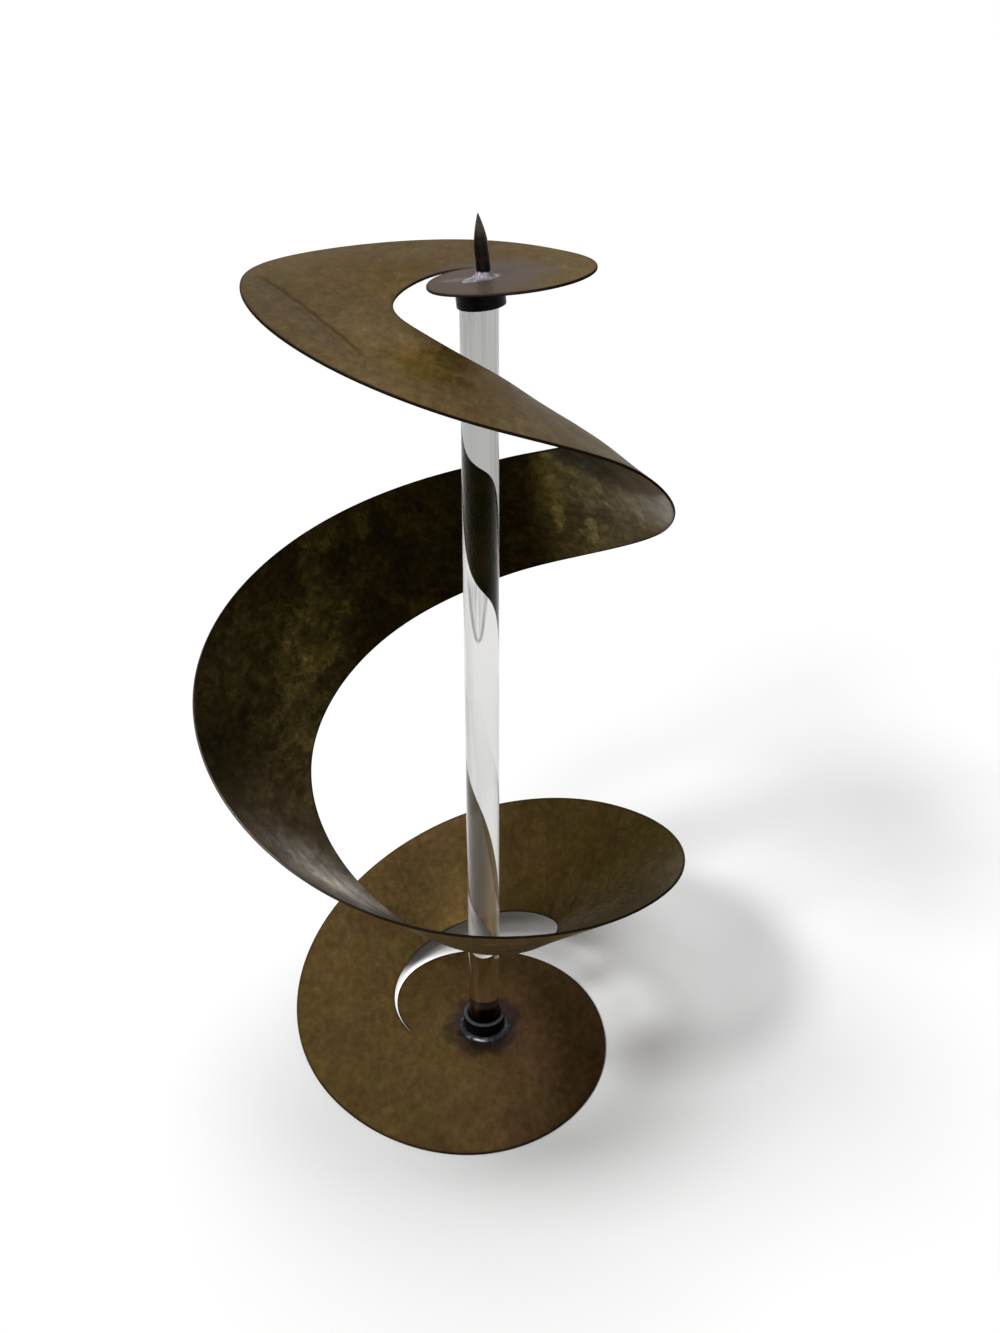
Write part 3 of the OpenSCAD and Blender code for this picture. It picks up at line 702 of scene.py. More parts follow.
def calc(operation, *terms, clamp=False):
    return wired("ShaderNodeMath", dict(enumerate(terms)), operation=operation, use_clamp=clamp)


def clamped(a, b):
    # a + b, held between 0 and 1
    return calc("ADD", a, b, clamp=True)


def vectorCalc(operation, *terms):
    return wired("ShaderNodeVectorMath", dict(enumerate(terms)), operation=operation)


def lengthOf(vector):
    return wired("ShaderNodeVectorMath", {0: vector}, "Value", operation="LENGTH")


def fromAxis(place, centre=(0, 0, 0)):
    # distance from an upright line
    return lengthOf(vectorCalc("MULTIPLY", vectorCalc("SUBTRACT", place, centre), (1, 1, 0)))


def split(place):
    made = node(place.tree, "ShaderNodeSeparateXYZ", {0: place})
    return [Wire(place.tree, socket) for socket in made.outputs]


def combined(x, y, z):
    return wired("ShaderNodeCombineXYZ", {0: x, 1: y, 2: z})


def stretched(where, scale, turn=(0, 0, 0), start=(0, 0, 0)):
    return wired("ShaderNodeMapping", {"Vector": where, "Scale": scale, "Rotation": turn, "Location": start})


def noise(where, scale, detail=2.0, rough=0.5, twist=0.0, start=None):
    where = vectorCalc("ADD", where, start) if start else where
    return wired("ShaderNodeTexNoise", {"Vector": where, "Scale": scale, "Detail": detail,
                                        "Roughness": rough, "Distortion": twist})


def ranged(value, low, high, toLow=0.0, toHigh=1.0):
    # smooth step from low to high
    return wired("ShaderNodeMapRange", {"Value": value, "From Min": low, "From Max": high,
                                        "To Min": toLow, "To Max": toHigh}, interpolation_type="SMOOTHSTEP")


def fading(value, low, high, full=1.0):
    return ranged(value, low, high, full, 0)


def mixed(share, a, b, mode="MIX"):
    a, b = [colour if isinstance(colour, Wire) else (*colour, 1) for colour in (a, b)]
    return wired("ShaderNodeMix", {0: share, 6: a, 7: b}, 2, data_type="RGBA", blend_type=mode)


def tinted(share, colour, tint):
    # colour (1 - share) + colour tint share
    return mixed(share, colour, tint, "MULTIPLY")


def startGroup(name, inputs, outputs):
    group = bpy.data.node_groups.new(name, "ShaderNodeTree")
    for way, sockets in (("INPUT", inputs), ("OUTPUT", outputs)):
        for label, kind in sockets.items():
            group.interface.new_socket(name=label, in_out=way, socket_type="NodeSocket" + kind)
    return group, {socket.name: Wire(group, socket) for socket in group.nodes.new("NodeGroupInput").outputs}


def endGroup(group, results):
    node(group, "NodeGroupOutput", results)
    return group


def placed(tree, group, plugs):
    # the group in a material, and its outputs by name
    made = node(tree, "ShaderNodeGroup", plugs, node_tree=group)
    return {socket.name: Wire(tree, socket) for socket in made.outputs}


def objectPlace(tree):
    return Wire(tree, node(tree, "ShaderNodeTexCoord").outputs["Object"])


def startMaterial(name, constants):
    material = bpy.data.materials.new(name)
    material.use_nodes = True
    shader = material.node_tree.nodes["Principled BSDF"]
    plugIn(shader, constants)
    return material, shader, objectPlace(material.node_tree)


def mark(tree, label):
    made = node(tree, "ShaderNodeAttribute", attribute_name=label, attribute_type="GEOMETRY")
    return Wire(tree, made.outputs["Fac"])


def bump(height, strength, depth):
    return wired("ShaderNodeBump", {"Height": height, "Strength": strength, "Distance": depth})


# shared effects

patina = dict(
    stretch=(1.0, 0.62, 1.0),
    # noises: scale, detail, roughness, distortion and how far the pattern is moved
    slow=(11, 2), big=(23, 6, 0.60, 0.9), small=(62, 5, 0.62, 0.7, (2.3, 0.7, 4.1)),
    fleck=(210, 4, 0.62, 0.3), speck=(480, 3, 0.6), grain=(1700, 2, 0.6), tide=(37, 3), pitted=(55, 3),
    mottle=(96, 4, 0.66, 0.5, (0.9, 5.2, 1.3)), speckle=(135, 5, 0.68, 0.4, (6.1, 3.3, 0.2)),
    spot=(175, 4, 0.66, 0.3, (2.2, 8.1, 5.0)), rust=(34, 4, 0.6, 0.5, (3.1, 1.7, 0.4)),
    coarse=(50, 5, 0.66, 0.8, (1.1, 2.6, 0.8)), fine=(150, 4, 0.62, 0.6, (4.7, 0.3, 2.2)),
    streak=(1.0, 3, 0.6), streakStretch=(34, 620, 260), pitScale=300.0,
    # the values between which a noise goes from nothing to full
    borders=dict(big=(0.475, 0.545), small=(0.46, 0.56), speck=(0.60, 0.74), tide=(0.45, 0.62),
                 pitted=(0.50, 0.64), speckle=(0.53, 0.60), spot=(0.60, 0.66), rust=(0.50, 0.68)),
    tideAt=0.512, tideWidth=0.012, pitRim=(0.09, 0.22), cloudy=(0.10, 0.20),
    # what each adds to the tone
    adds=dict(fleck=0.36, grain=0.08, streak=0.012, mottle=0.30, speck=0.055, pit=-0.11, tide=-0.045,
              speckle=0.055, spot=-0.10),
    patches=(0.52, 0.46, 1.3),                      # big, small, slow
    deeper=(0.65, 3.0),                             # the texture's depth, plain and by the cloud
    ragged=0.9, glow=(1.7, 0.48, 0.56, 0.155), soot=(1.2, 0.44, 0.56, -0.045), sootGrey=-0.34,
    # hues, each as bright as a tenth before the tone scales it
    gold=(1.54, 0.90, 0.27), paleGold=(1.45, 0.94, 0.24), amber=(1.62, 0.885, 0.16),
    straw=(1.42, 0.955, 0.12), stain=(1.42, 0.965, 0.09), olive=(1.27, 1.00, 0.30),
    ash=(1.10, 0.985, 0.87), redBrown=(1.62, 0.87, 0.46),
    stainShare=0.8, unevenShare=0.85, rustShare=0.30,
    # roughness, metal and bump height: what flecks, pits, grain and small patches add
    rough=dict(plain=0.40, fleck=0.22, pit=0.15, small=-0.06), metal=(0.78, 0.10),
    height=dict(fleck=0.8, grain=0.5, pit=-0.7),
)


def makePatina():
    # torched patina: tone = Tone + Cloud (slow + two layers of patches with crisp borders) + texture
    # (0.65 + 3 Cloud) + stains; colour = hue 0.10 2^(5 (tone - 1)), the hue going from old gold to grey by
    # Grey and to red-brown by Red
    values = dict.fromkeys(("Tone", "Grey", "Red", "Cloud", "Glow", "Soot"), "Float")
    group, given = startGroup("torchedPatina", dict(Where="Vector", **values),
                              dict(Color="Color", Roughness="Float", Metal="Float", Height="Float"))
    cloud, red = given["Cloud"], given["Red"]
    where = stretched(given["Where"], patina["stretch"])
    def field(name):
        return noise(where, *patina[name])
    def swing(name):
        return field(name) - 0.5
    def crisp(name):
        return ranged(field(name), *patina["borders"][name])

    # patches, with a tide line along the borders of the big ones
    bigField = field("big")
    big, small = ranged(bigField, *patina["borders"]["big"]) - 0.5, crisp("small") - 0.5
    bigShare, smallShare, slowShare = patina["patches"]
    patches = big * bigShare + small * smallShare + swing("slow") * slowShare
    border = fading(abs(bigField - patina["tideAt"]), 0.0, patina["tideWidth"])
    pitField = wired("ShaderNodeTexVoronoi", {"Vector": where, "Scale": patina["pitScale"]}, "Distance")
    cloudy = ranged(cloud, *patina["cloudy"])
    layers = dict(
        fleck=swing("fleck"), grain=swing("grain"), mottle=swing("mottle"), speck=crisp("speck"),
        streak=noise(stretched(where, patina["streakStretch"]), *patina["streak"]) - 0.5,
        pit=fading(pitField, *patina["pitRim"]) * crisp("pitted"), tide=border * crisp("tide"),
        speckle=crisp("speckle") * ranged(cloud, 0.04, 0.20, 0.4, 1.0), spot=crisp("spot") * cloudy,
    )
    texture = sum(layers[name] * share for name, share in patina["adds"].items())
    plain, byCloud = patina["deeper"]
    spread = patches * cloud + texture * (cloud * byCloud + plain)

    # a stain's border runs where its soft mark and a noise together cross a half
    ragged = swing("fine") * patina["ragged"] + swing("coarse")
    def stain(name, label):
        roughly, low, high, lift = patina[name]
        shape = ranged(ragged * roughly + given[label], low, high)
        return shape, shape * lift
    (light, lighter), (dark, darker) = stain("glow", "Glow"), stain("soot", "Soot")
    tone = given["Tone"] + spread + darker + lighter
    bright = calc("POWER", 2.0, (tone - 1.0) * 5.0) * 0.10

    golden = mixed(ranged(small, -0.3, 0.4), patina["gold"], patina["paleGold"])
    uneven = mixed(ranged(big + small, -0.5, 0.5), patina["amber"], patina["straw"])
    golden = mixed(ranged(cloud, *patina["cloudy"], 0, patina["unevenShare"]), golden, uneven)
    stained = calc("MAXIMUM", light, layers["speckle"] * cloudy) * patina["stainShare"]
    golden = mixed(stained, golden, patina["stain"])
    golden = mixed(calc("MULTIPLY", red, -1.0, clamp=True), golden, patina["olive"])
    hue = mixed(clamped(dark * patina["sootGrey"], given["Grey"]), golden, patina["ash"])
    rust = crisp("rust") * patina["rustShare"] * ranged(given["Tone"], 0.30, 0.60)
    hue = mixed(clamped(red, rust), hue, patina["redBrown"])
    rough, height, (metal, metalSmall) = patina["rough"], patina["height"], patina["metal"]
    return endGroup(group, dict(
        Color=wired("ShaderNodeVectorMath", {0: hue, 3: bright}, operation="SCALE"),
        Roughness=clamped(layers["fleck"] * rough["fleck"] + layers["pit"] * rough["pit"],
                          small * rough["small"] + rough["plain"]),
        Metal=small * metalSmall + metal,
        Height=sum(layers[name] * share for name, share in height.items()),
    ))


scratches = dict(turns=((0.35, 0.0), (-0.9, 5.0)), lean=(0.2, 0.1), stretch=(14, 900, 60), width=0.02,
                 patches=25, showing=(0.55, 0.72))


def makeHairlines():
    # fine rubbed lines: noise on coordinates pulled long one way, kept where it is near its middle and
    # where a slow noise lets them show
    group, given = startGroup("hairlines", dict(Where="Vector", Amount="Float"), dict(Mask="Float"))
    masks = []
    for turn, seed in scratches["turns"]:
        pulled = stretched(given["Where"], scratches["stretch"], (*scratches["lean"], turn), (seed, 0, 0))
        line = fading(abs(noise(pulled, 1, 2) - 0.5), 0.0, scratches["width"])
        slow = noise(given["Where"], scratches["patches"] + seed, 3)
        masks.append(line * ranged(slow, *scratches["showing"]))
    return endGroup(group, dict(Mask=calc("MAXIMUM", *masks) * given["Amount"]))


halo = dict(noise=(58, 4, 0.6, 0.6), ragged=1.5, core=(0.75, 1.15), ringIn=(0.85, 1.15), ringOut=(1.2, 1.75),
            sheen=(0.45, 1.1))   # borders in shares of the inner radius, the sheen's of the outer one


def makeHeatHalo():
    # heat colour round a soldered post: r = distance from its axis with noise added; Core falls from the
    # post to the inner radius, Ring is a band just outside it, Sheen fades out at the outer one
    group, given = startGroup("heatHalo", dict(Where="Vector", Centre="Vector", Inner="Float", Outer="Float"),
                              dict(Core="Float", Ring="Float", Sheen="Float"))
    inner = given["Inner"]
    ragged = (noise(given["Where"], *halo["noise"]) - 0.5) * (inner * halo["ragged"])
    radius = ragged + fromAxis(given["Where"], given["Centre"])
    share = radius / inner
    return endGroup(group, dict(
        Core=fading(share, *halo["core"]),
        Ring=ranged(share, *halo["ringIn"]) * fading(share, *halo["ringOut"]),
        Sheen=fading(radius / given["Outer"], *halo["sheen"]),
    ))


torchedPatina, hairlines, heatHalo = makePatina(), makeHairlines(), makeHeatHalo()


# the brass

brass = dict(
    grazing=(0.50, 0.47, 0.43), coat=0.012, coatRough=0.2, bump=0.35, bumpDepth=0.00012,
    sideShift=1.37,                                 # the two faces show different parts of the pattern
    # streaks in the painted highlight at the wall's light end, on (station, share) pulled long: noise,
    # borders and the two strengths
    streakStretch=(1.3, 9.0), streaks=(1.0, 4, 0.6, 0.4), streakRange=(0.25, 0.70, 0.84, 1.06),
    # the cut edges darken: noise, how ragged, from and to, share and tint
    edgeNoise=(300, 2), edgeRagged=0.0012, edgeReach=(0.0004, 0.0030), edgeTint=(0.55, (0.42, 0.38, 0.36)),
    hairlineAmount=0.25, hairlineTint=(0.35, (1.6, 1.5, 1.5)), hairlinePolish=-0.08,
)

# painted shade and painted reflection along the crown's bend line, across in metres and along in shares of
# its length; each tint has its share first
bendPaintedLight = dict(
    level=(0.55, 0.57), starts=(-0.02, 0.12), ends=(0.78, 1.0), wobble=(60, 2), wobbleSize=0.004,
    lineFrom=0.0004, lineNarrows=(0.25, 0.60, 0.0040, 0.0026), lineTint=(0.72, (0.45, 0.42, 0.42)),
    secondOff=0.0062, secondWidth=(0.0002, 0.0014), secondTint=(0.40, (0.50, 0.47, 0.47)),
    outside=(-0.009, -0.001), outsideStarts=(-0.1, 0.15), outsideTint=(0.7, (0.97, 0.985, 1.16)),
    besideFar=(-0.0180, -0.0120), besideNear=(-0.0025, 0.0), besideNoise=(45, 3),
    besidePatches=(0.38, 0.55, 0.5, 1.0), besideTint=(0.8, (0.80, 0.83, 0.98)),
)

# heat colours round the two soldered posts, and round the spike a lilac-grey sheen that is partly painted
# reflection: radii, level, and a share and colour for each zone
footHeat = dict(
    inner=0.0216, outer=0.039, level=(0.02, 0.05), sheen=(0.35, (0.80, 0.68, 0.78)),
    ring=0.66, ringNoise=(44, 2), ringBorder=(0.42, 0.56),
    ringHues=((0.015, 0.016, 0.012), (0.021, 0.012, 0.026)),
    core=(0.90, (0.0062, 0.0066, 0.0125)),
)
crownHeat = dict(
    inner=0.0095, outer=0.052, level=(0.585, 0.60), sheen=(0.72, (0.130, 0.106, 0.108)),
    core=(0.5, (0.30, 0.28, 0.29)),
    # flux and solder smeared to the left of the spike, in fine strokes
    smearAt=(-0.013, 0.0, 0.0), smearShape=(62, 180, 0), smearNoise=(260, 4, 0.65), smearRagged=1.2,
    smearEdge=(1.05, 1.6), strokeStretch=(90, 900, 90), strokeTurn=(0, 0, 0.3), strokes=(1.0, 3, 0.6),
    strokeRange=(0.38, 0.58, 0.3, 1.0), smear=(0.55, (0.27, 0.25, 0.26)),
)


def withBendPaintedLight(colour, place, x, y, z):
    # off = signed distance in plan from the straight line, run = share of the way along it; the line's
    # painted shade, a second fine one beside it, a greyer tint on its outer side as a painted reflection, and
    # a darker strip of painted shade there close to it
    b = bendPaintedLight
    (wayX, wayY), (startX, startY) = bendWay.tolist(), sheet["bendFrom"]
    fromX, fromY = x - startX, y - startY
    off = fromY * wayX - fromX * wayY
    run = (fromX * wayX + fromY * wayY) / float(bendLength)
    high = ranged(z, *b["level"])
    within = ranged(run, *b["starts"]) * fading(run, *b["ends"]) * high
    wobble = (noise(place, *b["wobble"]) - 0.5) * b["wobbleSize"]
    line = fading(abs(off + wobble), b["lineFrom"], ranged(run, *b["lineNarrows"])) * within
    second = fading(abs(off + b["secondOff"] + wobble), *b["secondWidth"]) * within
    outside = fading(off, *b["outside"]) * high * ranged(run, *b["outsideStarts"])
    beside = ranged(off, *b["besideFar"]) * fading(off, *b["besideNear"]) * within
    beside = beside * ranged(noise(place, *b["besideNoise"]), *b["besidePatches"])
    for mask, name in ((line, "line"), (second, "second"), (outside, "outside"), (beside, "beside")):
        share, tint = b[name + "Tint"]
        colour = tinted(mask * share, colour, tint)
    return colour


def heatMarked(colour, place, z):
    f, c = footHeat, crownHeat
    def haloRound(post, heat):
        plugs = dict(Where=place, Centre=(post, 0, 0), Inner=heat["inner"], Outer=heat["outer"])
        return placed(place.tree, heatHalo, plugs)
    foot, top = haloRound(0, f), haloRound(spike["offset"], c)
    low = fading(z, *f["level"])
    colour = tinted(foot["Sheen"] * low * f["sheen"][0], colour, f["sheen"][1])
    ringHue = mixed(ranged(noise(place, *f["ringNoise"]), *f["ringBorder"]), *f["ringHues"])
    colour = mixed(foot["Ring"] * low * f["ring"], colour, ringHue)
    colour = mixed(foot["Core"] * low * f["core"][0], colour, f["core"][1])

    atTop = ranged(z, *c["level"])
    # round the spike: a lilac-grey sheen, partly heat colour and partly painted reflection
    colour = mixed(top["Sheen"] * atTop * c["sheen"][0], colour, c["sheen"][1])
    colour = mixed(top["Core"] * atTop * c["core"][0], colour, c["core"][1])
    spread = lengthOf(vectorCalc("MULTIPLY", vectorCalc("SUBTRACT", place, c["smearAt"]), c["smearShape"]))
    reach = noise(place, *c["smearNoise"]) * c["smearRagged"] + spread
    strokes = noise(stretched(place, c["strokeStretch"], c["strokeTurn"]), *c["strokes"])
    smear = fading(reach, *c["smearEdge"]) * ranged(strokes, *c["strokeRange"])
    return mixed(smear * atTop * c["smear"][0], colour, c["smear"][1])


def patinatedBrass():
    material, shader, place = startMaterial("patinatedBrass", {
        "Specular IOR Level": 0.0, "Specular Tint": (*brass["grazing"], 1), "Coat Weight": brass["coat"],
        "Coat Roughness": brass["coatRough"]})
    x, y, z = split(place)
    names = ("side", "edgeGap", "tone", "grey", "red", "cloud", "sheen", "glow", "soot", "station", "share")
    marks = {name: mark(place.tree, name) for name in names}
    shifted = vectorCalc("ADD", place, combined(marks["side"] * brass["sideShift"], 0, 0))

    # painted highlight: the wall's light end, broken into streaks, makes the tone lighter and greyer
    along, across = brass["streakStretch"]
    ribbonPlace = combined(marks["station"] * along, marks["share"] * across, marks["side"])
    shine = marks["sheen"] * ranged(noise(ribbonPlace, *brass["streaks"]), *brass["streakRange"])
    base = placed(place.tree, torchedPatina, dict(
        Where=shifted, Tone=shine * paint["sheen"]["tone"] + marks["tone"],
        Grey=clamped(shine * paint["sheen"]["grey"], marks["grey"]),
        Red=marks["red"], Cloud=marks["cloud"], Glow=marks["glow"], Soot=marks["soot"]))
    colour = withBendPaintedLight(base["Color"], place, x, y, z)
    colour = heatMarked(colour, place, z)

    # darker towards the cut edges, and fine rubbed lines
    edge = noise(place, *brass["edgeNoise"]) * brass["edgeRagged"] + marks["edgeGap"]
    share, tint = brass["edgeTint"]
    colour = tinted(fading(edge, *brass["edgeReach"]) * share, colour, tint)
    rubbed = placed(place.tree, hairlines, dict(Where=shifted, Amount=brass["hairlineAmount"]))["Mask"]
    share, tint = brass["hairlineTint"]
    plugIn(shader, {"Base Color": tinted(rubbed * share, colour, tint),
                    "Roughness": base["Roughness"] + rubbed * brass["hairlinePolish"],
                    "Metallic": base["Metal"],
                    "Normal": bump(base["Height"], brass["bump"], brass["bumpDepth"])})
    return material


# clear acrylic

acrylic = dict(
    tint=(0.74, 0.735, 0.72), topTint=(0.42, 0.42, 0.41), topFrom=0.425, topTo=0.47,
    lowTint=(0.90, 0.89, 0.88), lowTo=(0.10, 0.17), shine=(0.08, 0.072, 0.02), ior=1.49,
    # painted shade: the rod's end in the black collar is tinted near black
    collarPaintedShade=(0.03, 0.03, 0.06), collarTo=(0.0250, 0.0262),   # the end that stands in the black collar
    # draw lines: their stretch, noise, borders, how they grow with height, and tint
    drawn=(300, 300, 5), lines=(1.0, 3, 0.6), lineBorder=(0.50, 0.66), lineGrows=(0.30, 0.55, 0.12, 0.80),
    lineTint=(0.60, 0.61, 0.60),
    scuffs=(160, 4, 0.65, 0.6), scuffBorder=(0.62, 0.72), scuffPatches=(21, 2), scuffPatchBorder=(0.52, 0.64),
    scuffTint=(0.25, (0.72, 0.72, 0.70)), scuffRough=0.02,
    front=(-0.004, -0.001),                         # what is seen in front only
    # painted reflection: a dark U on the rod's front
    paintedArc=dict(x=-0.0021, low=0.373, height=0.050, half=0.0066, stroke=(0.0006, 0.0017),
             inner=(-0.0004, 0.0012), innerGrows=(0.0, 1.0, 0.45, 0.85), innerNoise=(2.4, 2),
             innerRange=(0.40, 0.58, 0.30, 1.0), breaks=(1.6, 3, 0.6), breakRange=(0.30, 0.55, 0.6, 1),
             starts=(-0.05, 0.02), ends=(0.75, 1.15), tint=(0.95, (0.17, 0.18, 0.19))),
    bubble=dict(x=-0.0042, z=0.6010, radius=0.0023, stroke=(0.0001, 0.0006), share=0.5,
                tint=(0.55, 0.56, 0.56)),
    mirror=0.85, dull=(0.27, 0.34), mirrorFrom=(0.026, 0.031),   # the lower part mirrors the white room more
)


def clearAcrylic():
    # solid clear rod, a grey shade from the level of the fold up, with long faint draw lines and scuffs
    material, shader, place = startMaterial("clearAcrylic", {
        "Transmission Weight": 1.0, "IOR": acrylic["ior"], "Metallic": 0.0,
        "Specular Tint": (*acrylic["shine"], 1)})
    x, y, z = split(place)
    a, paintedArc, bubble = acrylic, acrylic["paintedArc"], acrylic["bubble"]
    colour = mixed(ranged(z, a["topFrom"], a["topTo"]), a["tint"], a["topTint"])
    drawn = stretched(place, a["drawn"])
    lines = ranged(noise(drawn, *a["lines"]), *a["lineBorder"]) * ranged(z, *a["lineGrows"])
    colour = tinted(lines, colour, a["lineTint"])
    scuffs = ranged(noise(place, *a["scuffs"]), *a["scuffBorder"])
    scuffs = scuffs * ranged(noise(place, *a["scuffPatches"]), *a["scuffPatchBorder"])
    colour = tinted(scuffs * a["scuffTint"][0], colour, a["scuffTint"][1])
    colour = mixed(fading(z, *a["lowTo"]), colour, a["lowTint"])
    # painted shade inside the black collar
    colour = mixed(fading(z, *a["collarTo"]), colour, a["collarPaintedShade"])

    # a painted reflection, a dark U in front: |x - x0| = half sqrt((z - z0) / height), broken by noise
    climb = (z - paintedArc["low"]) / paintedArc["height"]
    wide = calc("SQRT", calc("MAXIMUM", climb, 0.0)) * paintedArc["half"]
    aside = abs(x - paintedArc["x"])
    inner = ranged(wide - aside, *paintedArc["inner"]) * ranged(climb, *paintedArc["innerGrows"])
    inner = inner * ranged(noise(drawn, *paintedArc["innerNoise"]), *paintedArc["innerRange"])
    stroke = fading(abs(aside - wide), *paintedArc["stroke"])
    stroke = stroke * ranged(noise(drawn, *paintedArc["breaks"]), *paintedArc["breakRange"])
    arcReflection = calc("MAXIMUM", stroke, inner) * fading(climb, *paintedArc["ends"]) * ranged(climb, *paintedArc["starts"])
    arcReflection = arcReflection * fading(y, *a["front"])
    colour = tinted(arcReflection * paintedArc["tint"][0], colour, paintedArc["tint"][1])

    # one flat bubble near the top shows as a thin ring
    away = lengthOf(combined(x - bubble["x"], 0, z - bubble["z"]))
    ring = fading(abs(away - bubble["radius"]), *bubble["stroke"]) * fading(y, *a["front"], bubble["share"])
    plugIn(shader, {"Base Color": tinted(ring, colour, bubble["tint"]), "Roughness": scuffs * a["scuffRough"],
                    "Coat Weight": fading(z, *a["dull"], a["mirror"]) * ranged(z, *a["mirrorFrom"])})
    return material


# black metal of the collars

blackLook = dict(
    base=(0.0022, 0.0022, 0.0026), dusty=(0.010, 0.010, 0.011), dust=(240, 4, 0.65), dustBorder=(0.45, 0.75),
    dustShare=0.35, rings=(1.0, 2), ringStretch=(40, 40, 2200), bump=(0.25, 0.00006),
    # the lower collar's top face is rubbed: between heights, not the upper collar, and out to the rim
    worn=(0.060, 0.060, 0.062), wornUp=(0.0155, 0.0166), wornBelow=(0.05, 0.06), wornOut=(0.0139, 0.0148),
    wear=(420, 4, 0.7), wearRange=(0.25, 0.55, 0.45, 1.0), rough=0.30, dustRough=0.22, wornRough=0.12,
)


def blackMetal():
    # blacked metal: near black with dusty patches, the lower collar's top face rubbed to dull grey
    material, shader, place = startMaterial("blackMetal", {"Metallic": 0.0, "Specular IOR Level": 0.05})
    b, z = blackLook, split(place)[2]
    dust = ranged(noise(place, *b["dust"]), *b["dustBorder"])
    worn = ranged(z, *b["wornUp"]) * fading(z, *b["wornBelow"]) * ranged(fromAxis(place), *b["wornOut"])
    worn = worn * ranged(noise(place, *b["wear"]), *b["wearRange"])
    ringed = noise(stretched(place, b["ringStretch"]), *b["rings"])
    plugIn(shader, {"Base Color": mixed(worn, mixed(dust * b["dustShare"], b["base"], b["dusty"]), b["worn"]),
                    "Roughness": dust * b["dustRough"] + (worn * b["wornRough"] + b["rough"]),
                    "Normal": bump(ringed + dust, *b["bump"])})
    return material


# solder

solderLook = dict(
    patches=(190, 4, 0.6, 0.6), patchSoft=0.12, frost=(1500, 3, 0.6), frostBorder=(0.5, 0.7),
    frostTint=(0.25, (0.55, 0.55, 0.58)), rough=(-0.18, 0.50), metal=(0.3, 0.6),
    lumps=(600, 3), frostLumps=0.3, bump=(0.5, 0.0002),
    # painted highlight: a short bright curve in front, its radius, half width, middle, length and front edge
    highlightRadius=0.0187, highlightWidth=(0.0002, 0.0011), highlightX=-0.0035, highlightLong=(0.002, 0.0065),
    highlightFront=(-0.012, -0.010), highlightNoise=(700, 3), highlightRange=(0.40, 0.55, 0.5, 1), paintedLight=(0.62, 0.61, 0.64),
)


def solderMetal(name, bright, dull, dullShare, streak=0.0):
    # soft solder: bright where it last ran, dulled to grey in patches of noise, with fine frost, and, by
    # streak, a painted highlight curve in front
    material, shader, place = startMaterial(name, {"Specular IOR Level": 0.5})
    s = solderLook
    patches = ranged(noise(place, *s["patches"]), dullShare - s["patchSoft"], dullShare + s["patchSoft"])
    frost = noise(place, *s["frost"])
    frosted = ranged(frost, *s["frostBorder"]) * s["frostTint"][0]
    colour = tinted(frosted, mixed(patches, dull, bright), s["frostTint"][1])
    # painted highlight: a bright curve on the solder's front
    if streak:
        x, y = split(place)[:2]
        paintedArc = fading(abs(fromAxis(place) - s["highlightRadius"]), *s["highlightWidth"])
        paintedArc = paintedArc * fading(abs(x - s["highlightX"]), *s["highlightLong"]) * fading(y, *s["highlightFront"])
        paintedArc = paintedArc * ranged(noise(place, *s["highlightNoise"]), *s["highlightRange"])
        colour = mixed(paintedArc * streak, colour, s["paintedLight"])
    lumps = noise(place, *s["lumps"]) + frost * s["frostLumps"]
    plugIn(shader, {"Base Color": colour, "Roughness": patches * s["rough"][0] + s["rough"][1],
                    "Metallic": patches * s["metal"][0] + s["metal"][1], "Normal": bump(lumps, *s["bump"])})
    return material


# blackened steel of the spike

spikeLook = dict(
    shaft=(0.0085, 0.0055, 0.0048), brown=(0.022, 0.013, 0.010), bloom=(230, 4, 0.6, 0.4),
    bloomBorder=(0.42, 0.66),
    ground=(0.070, 0.058, 0.050), groundDark=(0.035, 0.026, 0.022), groundFrom=0.646, groundTo=0.652,
    groundNoise=(330, 3), groundRagged=0.006, strokes=(1.0, 3, 0.6), strokeStretch=(160, 160, 3200),
    strokeBorder=(0.35, 0.65), rough=(0.25, 0.25), bump=(0.35, 0.0001),
)


def darkSteel():
    # burnt steel: near black with brown bloom by noise; above the ground line it is lighter, with fine
    # grinding lines round it from noise squashed in height
    material, shader, place = startMaterial("darkSteel", {"Specular IOR Level": 0.4, "Metallic": 0.85})
    s, z = spikeLook, split(place)[2]
    bloom = ranged(noise(place, *s["bloom"]), *s["bloomBorder"])
    edge = z + (noise(place, *s["groundNoise"]) - 0.5) * s["groundRagged"]
    strokes = noise(stretched(place, s["strokeStretch"]), *s["strokes"])
    lit = mixed(ranged(strokes, *s["strokeBorder"]), s["ground"], s["groundDark"])
    burnt = mixed(bloom, s["shaft"], s["brown"])
    plugIn(shader, {"Base Color": mixed(ranged(edge, s["groundFrom"], s["groundTo"]), burnt, lit),
                    "Roughness": strokes * s["rough"][0] + s["rough"][1],
                    "Normal": bump(strokes, *s["bump"])})
    return material


def dress(piece, material, cadNode):
    piece.data.materials.clear()
    piece.data.materials.append(material)
    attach(piece, "root")
    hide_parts(cadNode)


blackened = blackMetal()
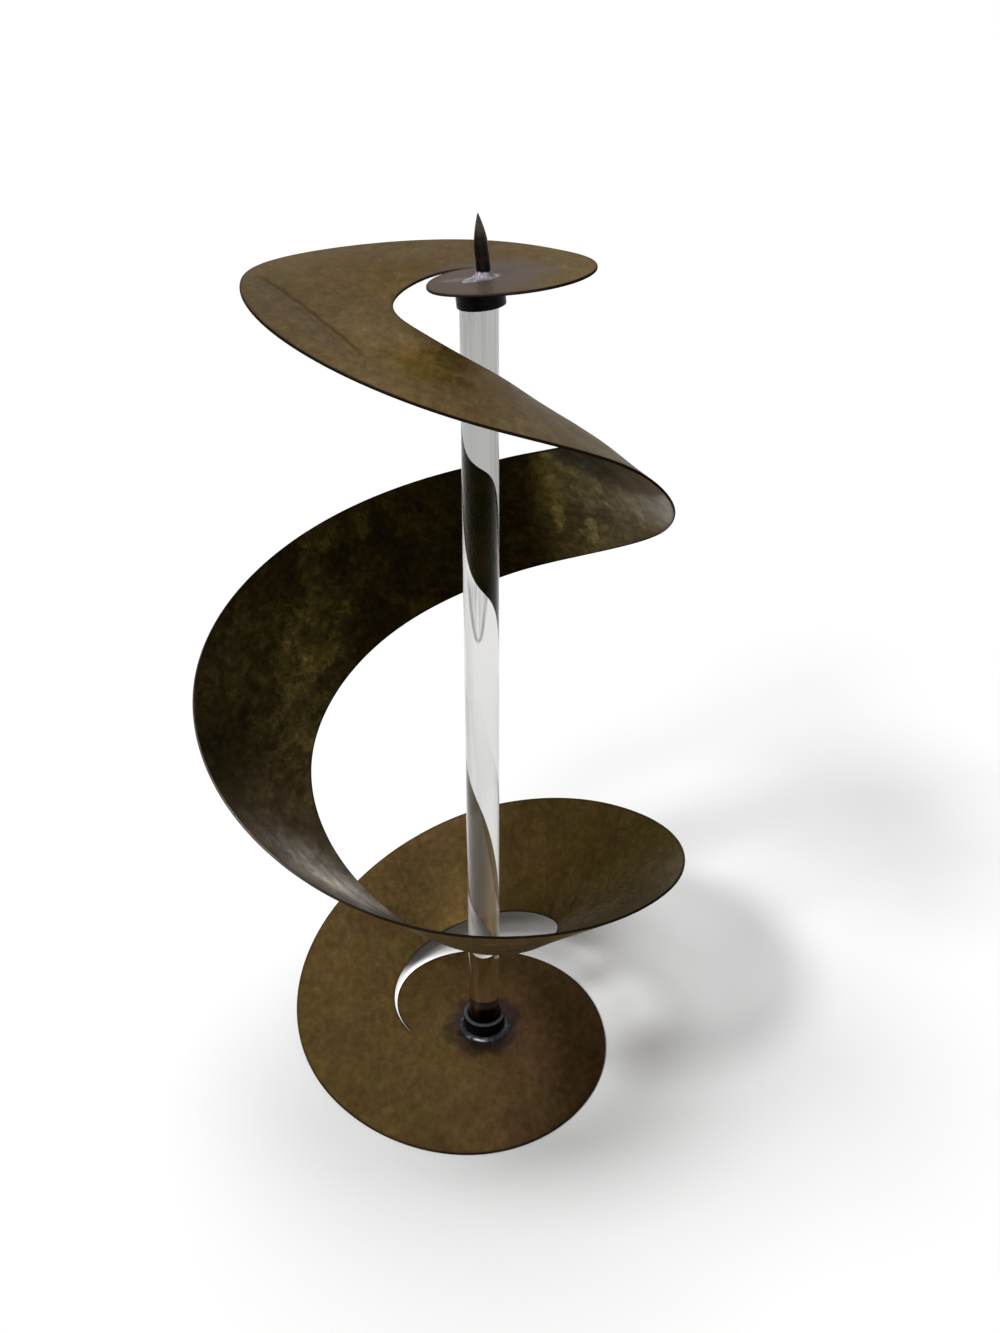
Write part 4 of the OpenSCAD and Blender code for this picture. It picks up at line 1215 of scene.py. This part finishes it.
# the foot's solder carries a painted highlight in front
darkSolder = solderMetal("darkSolder", (0.11, 0.12, 0.15), (0.010, 0.011, 0.016), 0.62, 0.6)
hiddenSolder = solderMetal("hiddenSolder", (0.25, 0.25, 0.26), (0.03, 0.03, 0.032), 0.55)
brightSolder = solderMetal("brightSolder", (0.34, 0.32, 0.36), (0.13, 0.115, 0.13), 0.52)
dress(ribbon, patinatedBrass(), "spiral_sheet")
dress(rod, clearAcrylic(), "column_rod")
dress(footCollar, blackened, "lower_socket")
dress(crownCollar, blackened, "upper_socket")
dress(footSolder, darkSolder, "lower_solder")
dress(crownSolder, hiddenSolder, "upper_solder")
dress(spikeSolder, brightSolder, "spike_solder")
dress(pricket, darkSteel(), "pricket_spike")
print("materials: done")


# floor, world and lamps

stage = dict(
    size=14.0, under=0.0002, floorColour=0.80, floorOwn=0.005, fill=0.12,
    # painted light: places of the floor that glow for camera, glossy and transmission rays where the lamps
    # leave
    # shade: centre, full to, none from, strength
    glowingFloorSpots=[((-0.012, -0.002), 0.086, 0.098, 0.70), ((0.135, 0.065), 0.0, 0.130, 0.26)],
)

# the studio's four lamps: where each stands, its strength and its width in degrees
lamps = dict(
    frontLeft=((-0.690, -0.880, 1.0), 0.60, 12),
    left=((-0.736, -0.494, 1.0), 1.30, 11),
    side=((-0.44, 0.02, 1.0), 1.07, 20),
    overhead=((-0.05, 0.18, 1.0), 1.28, 28),
)


def seenBy(tree):
    # 1 for camera, glossy and transmission rays, 0 for diffuse ones
    path = node(tree, "ShaderNodeLightPath").outputs
    kinds = ("Is Camera Ray", "Is Glossy Ray", "Is Transmission Ray")
    camera, glossy, through = [Wire(tree, path[kind]) for kind in kinds]
    return calc("MAXIMUM", calc("MAXIMUM", camera, glossy), through)


def paleFloor():
    material = bpy.data.materials.new("paleFloor")
    material.use_nodes = True
    tree = material.node_tree
    tree.nodes.clear()
    own, place = stage["floorOwn"], objectPlace(tree)
    # painted light: each glowing spot adds to the floor's own glow
    for centre, near, far, strength in stage["glowingFloorSpots"]:
        own = fading(fromAxis(place, (*centre, 0.0)), near, far, strength) + own
    plain = node(tree, "ShaderNodeBsdfDiffuse", {"Color": (*[stage["floorColour"]] * 3, 1)})
    glow = wired("ShaderNodeEmission", {"Strength": seenBy(tree) * own})
    both = wired("ShaderNodeAddShader", {0: Wire(tree, plain.outputs[0]), 1: glow})
    node(tree, "ShaderNodeOutputMaterial", {0: both})
    return material


def setStage():
    half = stage["size"] / 2
    mesh = bpy.data.meshes.new("floor")
    corners = [(-half, -half, 0), (half, -half, 0), (half, half, 0), (-half, half, 0)]
    mesh.from_pydata(corners, [], [(0, 1, 2, 3)])
    mesh.materials.append(paleFloor())
    floor = bpy.data.objects.new("floor", mesh)
    floor.location.z = -stage["under"]
    bpy.context.scene.collection.objects.link(floor)

    world = bpy.data.worlds.new("whiteRoom")
    world.use_nodes = True
    bpy.context.scene.world = world
    sky = world.node_tree
    plugIn(sky.nodes["Background"], {0: (1, 1, 1, 1), 1: seenBy(sky) * (1 - stage["fill"]) + stage["fill"]})

    for name, (source, power, soft) in lamps.items():
        data = bpy.data.lights.new(name + "Light", "SUN")
        data.energy, data.angle = power, math.radians(soft)
        lamp = bpy.data.objects.new(name + "Light", data)
        lamp.visible_glossy = name == "left"           # the white room stands for the others in reflections
        lamp.rotation_euler = (-Vector(source)).to_track_quat("-Z", "Y").to_euler()
        bpy.context.scene.collection.objects.link(lamp)


setStage()
bpy.context.scene.view_settings.view_transform = "Standard"
print("stage: set")
